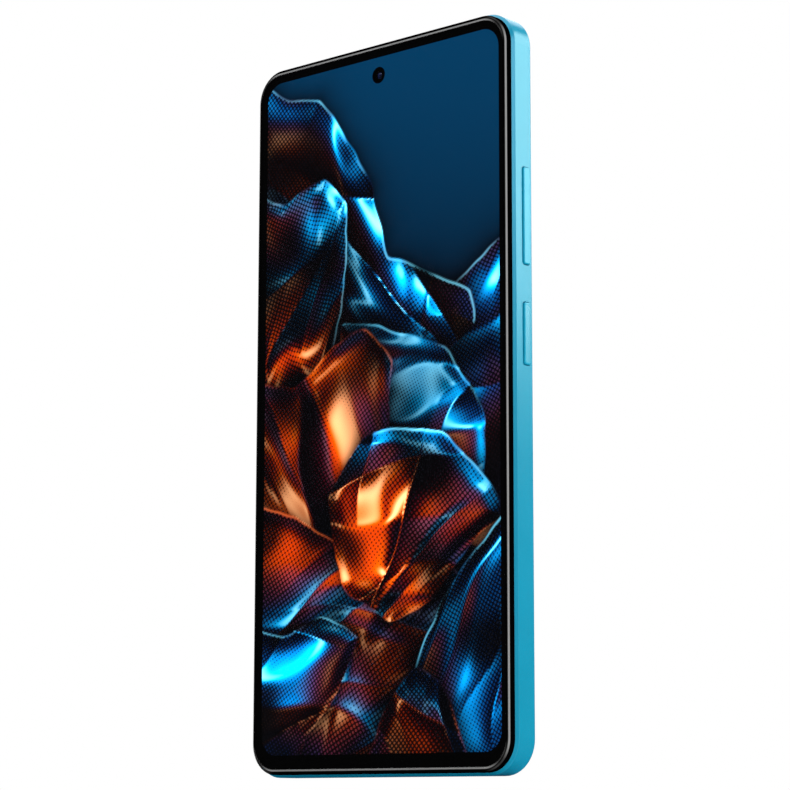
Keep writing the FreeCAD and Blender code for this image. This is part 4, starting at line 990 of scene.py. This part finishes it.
def make_finishes():
    """Every finish that the CAD nodes use, by name."""
    return {
        "paint": satin_paint("paint", PAINT),
        # Painted light: the keys' paint is a lighter copy of the frame's paint, so their faces look lit.
        "lit_key_paint": satin_paint("lit_key_paint", (0.004, 0.36, 0.56), roughness=0.24),
        "back": tinted_back("back", PAINT),
        "island": gloss_panel("island", (0.004, 0.12, 0.20)),
        "ring": brushed_metal("ring", (0.05, 0.40, 0.56), roughness=0.22, along=(1, 1, 1)),
        "front_glass": clear_glass("front_glass", (0.97, 0.985, 0.99), rim=0.30),
        "lens_window": clear_glass("lens_window", (0.80, 0.84, 0.90), smudge=0.03),
        "black": moulded_plastic("black", (0.010, 0.010, 0.011)),
        "trim": moulded_plastic("trim", (0.0005, 0.0005, 0.0006), roughness=0.55, gloss=0.0),
        "grey": moulded_plastic("grey", (0.10, 0.10, 0.11)),
        "panel": gloss_panel("panel", (0.002, 0.003, 0.005)),
        "plate": brushed_metal("plate", (0.60, 0.61, 0.63), roughness=0.38),
        "steel": brushed_metal("steel", (0.60, 0.60, 0.61)),
        "screw": brushed_metal("screw", (0.42, 0.42, 0.44), along=(1, 1, 1)),
        "tungsten": brushed_metal("tungsten", (0.28, 0.28, 0.29), roughness=0.45),
        "gold": gold_plating("gold"),
        "board": circuit_board("board"),
        "film": circuit_film("film"),
        "pouch": battery_pouch("pouch"),
        "rubber": rubber("rubber"),
        "mesh": woven_mesh("mesh"),
        "sensor": satin_paint("sensor", (0.004, 0.34, 0.54), roughness=0.24, coat=0.5),
        "infrared": gloss_panel("infrared", (0.03, 0.004, 0.010)),
        "flash": gloss_panel("flash", (0.72, 0.68, 0.50)),
        "selfie": coated_lens("selfie", (0.02, 0.04, 0.22)),
    }


NODE_FINISHES = {
    "paint": ["side_frame", "sim_tray"],
    "lit_key_paint": ["power_button", "volume_rocker"],
    "sensor": ["fingerprint_sensor"],
    "back": ["rear_cover"],
    "island": ["camera_island"],
    "ring": ["main_lens_ring", "ultrawide_lens_ring", "macro_lens_ring"],
    "front_glass": ["cover_glass"],
    "lens_window": ["main_lens_window", "ultrawide_lens_window", "macro_lens_window"],
    "trim": ["display_trim_ring", "front_camera"],
    "black": ["display_backing", "earpiece_speaker", "main_camera_barrel", "ultrawide_camera",
              "macro_camera", "usb_c_tongue", "headphone_jack", "loudspeaker_box", "upper_bracket",
              "lower_bracket"],
    "grey": ["earpiece_diaphragm", "loudspeaker_diaphragm"],
    "panel": ["oled_panel"],
    "plate": ["mid_plate"],
    "steel": ["main_camera", "sim_socket", "sim_eject_rod", "sim_eject_lever", "sim_lever_pin", "usb_c_shell",
              "board_shields", "lra_housing", "lra_springs"],
    "screw": ["bracket_screws"],
    "tungsten": ["lra_mass"],
    "gold": ["headphone_contacts", "microphones", "nfc_antenna"],
    "board": ["main_board", "sub_board"],
    "film": ["display_flex", "side_key_flex", "main_flex"],
    "pouch": ["battery"],
    "rubber": ["rear_cover_adhesive", "front_camera_gasket", "sim_tray_seal", "antenna_coax"],
    "mesh": ["earpiece_mesh", "loudspeaker_mesh"],
    "infrared": ["ir_emitter"],
    "flash": ["flash_window", "flash_led"],
    "selfie": ["front_camera_lens"],
}


def dress_nodes(finishes):
    dressed = set()
    for finish, nodes in NODE_FINISHES.items():
        for node in nodes:
            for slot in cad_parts[node].material_slots:
                slot.material = finishes[finish]
            dressed.add(node)
    left = sorted(set(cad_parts) - dressed)
    if left:
        raise ValueError(f"nodes without a finish: {left}")


# ---------------------------------------------------------------- studio

FLOOR_HALF = 1.5
FLOOR_LINES = 6
FLOOR_DROP = 0.02 * MM
FLOOR_FADE = (0.12, 0.75)


def make_floor():
    """Pale floor, seen from above only, so that a camera just under its level looks past it.

    It turns into plain white paper away from the object.
    """
    line = np.linspace(-FLOOR_HALF, FLOOR_HALF, FLOOR_LINES)
    vertices = [(x, y, -FLOOR_DROP) for y in line for x in line]
    faces = []
    for j in range(FLOOR_LINES - 1):
        for i in range(FLOOR_LINES - 1):
            a = j * FLOOR_LINES + i
            faces.append((a, a + 1, a + FLOOR_LINES + 1, a + FLOOR_LINES))
    mesh = bpy.data.meshes.new("floor")
    mesh.from_pydata(vertices, [], faces)
    mesh.materials.append(floor_material("floor"))
    floor = bpy.data.objects.new("floor", mesh)
    link(floor)
    floor.visible_glossy = False
    floor.visible_shadow = False


def floor_material(name):
    material, output, tree = new_material(name)
    tone = ranged(tree, noise(tree, 40.0, 3.0), 0.3, 0.7, 0.80, 0.84)
    matt = add(tree, "ShaderNodeBsdfPrincipled", {
        "Base Color": blended(tree, tone, rgba((0, 0, 0)), rgba((1, 1, 1))),
        "Roughness": 0.7,
    }).outputs[0]
    away = vector_math(tree, "LENGTH", object_place(tree), result="Value")
    share = ranged(tree, away, *FLOOR_FADE, 0.0, 1.0, smooth=True)
    paper = add(tree, "ShaderNodeEmission", {"Color": (1, 1, 1, 1), "Strength": 1.0}).outputs[0]
    below = add(tree, "ShaderNodeBsdfTransparent").outputs[0]
    back = add(tree, "ShaderNodeNewGeometry").outputs["Backfacing"]
    both = mixed(tree, back, mixed(tree, share, matt, paper), below)
    tree.links.new(both, output.inputs["Surface"])
    return material


def background(tree, strength):
    return add(tree, "ShaderNodeBackground", {"Color": (1, 1, 1, 1), "Strength": strength}).outputs[0]


WORLD_LIGHT = 0.66
WORLD_IN_MIRRORS = 0.02


def make_world():
    """White to the camera, soft grey light on rough surfaces and near darkness in mirrors."""
    world = bpy.data.worlds.new("studio")
    bpy.context.scene.world = world
    world.use_nodes = True
    tree = world.node_tree
    tree.nodes.clear()
    path = add(tree, "ShaderNodeLightPath")
    soft = mixed(tree, path.outputs["Is Glossy Ray"], background(tree, WORLD_LIGHT),
                 background(tree, WORLD_IN_MIRRORS))
    all_rays = mixed(tree, path.outputs["Is Camera Ray"], soft, background(tree, 1.0))
    output = add(tree, "ShaderNodeOutputWorld")
    tree.links.new(all_rays, output.inputs["Surface"])


UPPER = (0.038, 0.0, 0.13)
MIDDLE = (0.0, 0.0, 0.08)
LOW = (0.0, 0.0, 0.0)
WHITE = (1, 1, 1)
PALE_YELLOW = (0.92, 0.96, 0.80)

# Name, place, the point it faces, width, height, radiance, colour, and whether glossy surfaces mirror it.
# under_glow lies below the floor, which casts no shadow.
SOFTBOXES = [
    ("back_right_box", (0.42, 0.42, 0.40), UPPER, 0.40, 0.40, 4.6, PALE_YELLOW, True),
    ("back_top_box", (-0.335, 0.74, 0.717), UPPER, 0.50, 0.50, 1.5, WHITE, True),
    ("front_right_box", (0.70, -0.54, 0.48), UPPER, 0.30, 0.30, 3.5, WHITE, True),
    ("right_fill", (0.75, 0.05, 0.25), MIDDLE, 0.50, 0.60, 0.15, WHITE, False),
    ("overhead", (-0.15, 0.0, 1.0), MIDDLE, 1.60, 1.30, 1.3, WHITE, True),
    ("left_edge", (-0.70, 0.15, 0.15), MIDDLE, 0.30, 0.60, 0.8, WHITE, True),
    ("back_fill", (-0.30, 0.80, 0.35), MIDDLE, 0.80, 0.60, 0.7, WHITE, True),
    ("under_glow", (0.02, -0.30, -0.50), LOW, 0.40, 0.40, 2.2, WHITE, False),
]


def make_softbox(name, at, towards, width, height, radiance, colour, mirrored):
    data = bpy.data.lights.new(name, "AREA")
    data.shape = "RECTANGLE"
    data.size = width
    data.size_y = height
    data.energy = radiance * math.pi * width * height
    data.color = colour
    light = bpy.data.objects.new(name, data)
    light.location = at
    light.rotation_mode = "QUATERNION"
    light.rotation_quaternion = (Vector(towards) - Vector(at)).to_track_quat("-Z", "Y")
    light.visible_camera = False
    light.visible_glossy = mirrored
    link(light)


# ---------------------------------------------------------------- run

bpy.context.scene.view_settings.view_transform = "Standard"
make_camera()
make_world()
for softbox in SOFTBOXES:
    make_softbox(*softbox)
make_floor()
finishes = make_finishes()
dress_nodes(finishes)
make_glass_print()
make_picture()
make_lens_elements()
make_usb_contacts(finishes["gold"])
make_flash_lens(finishes["flash"])
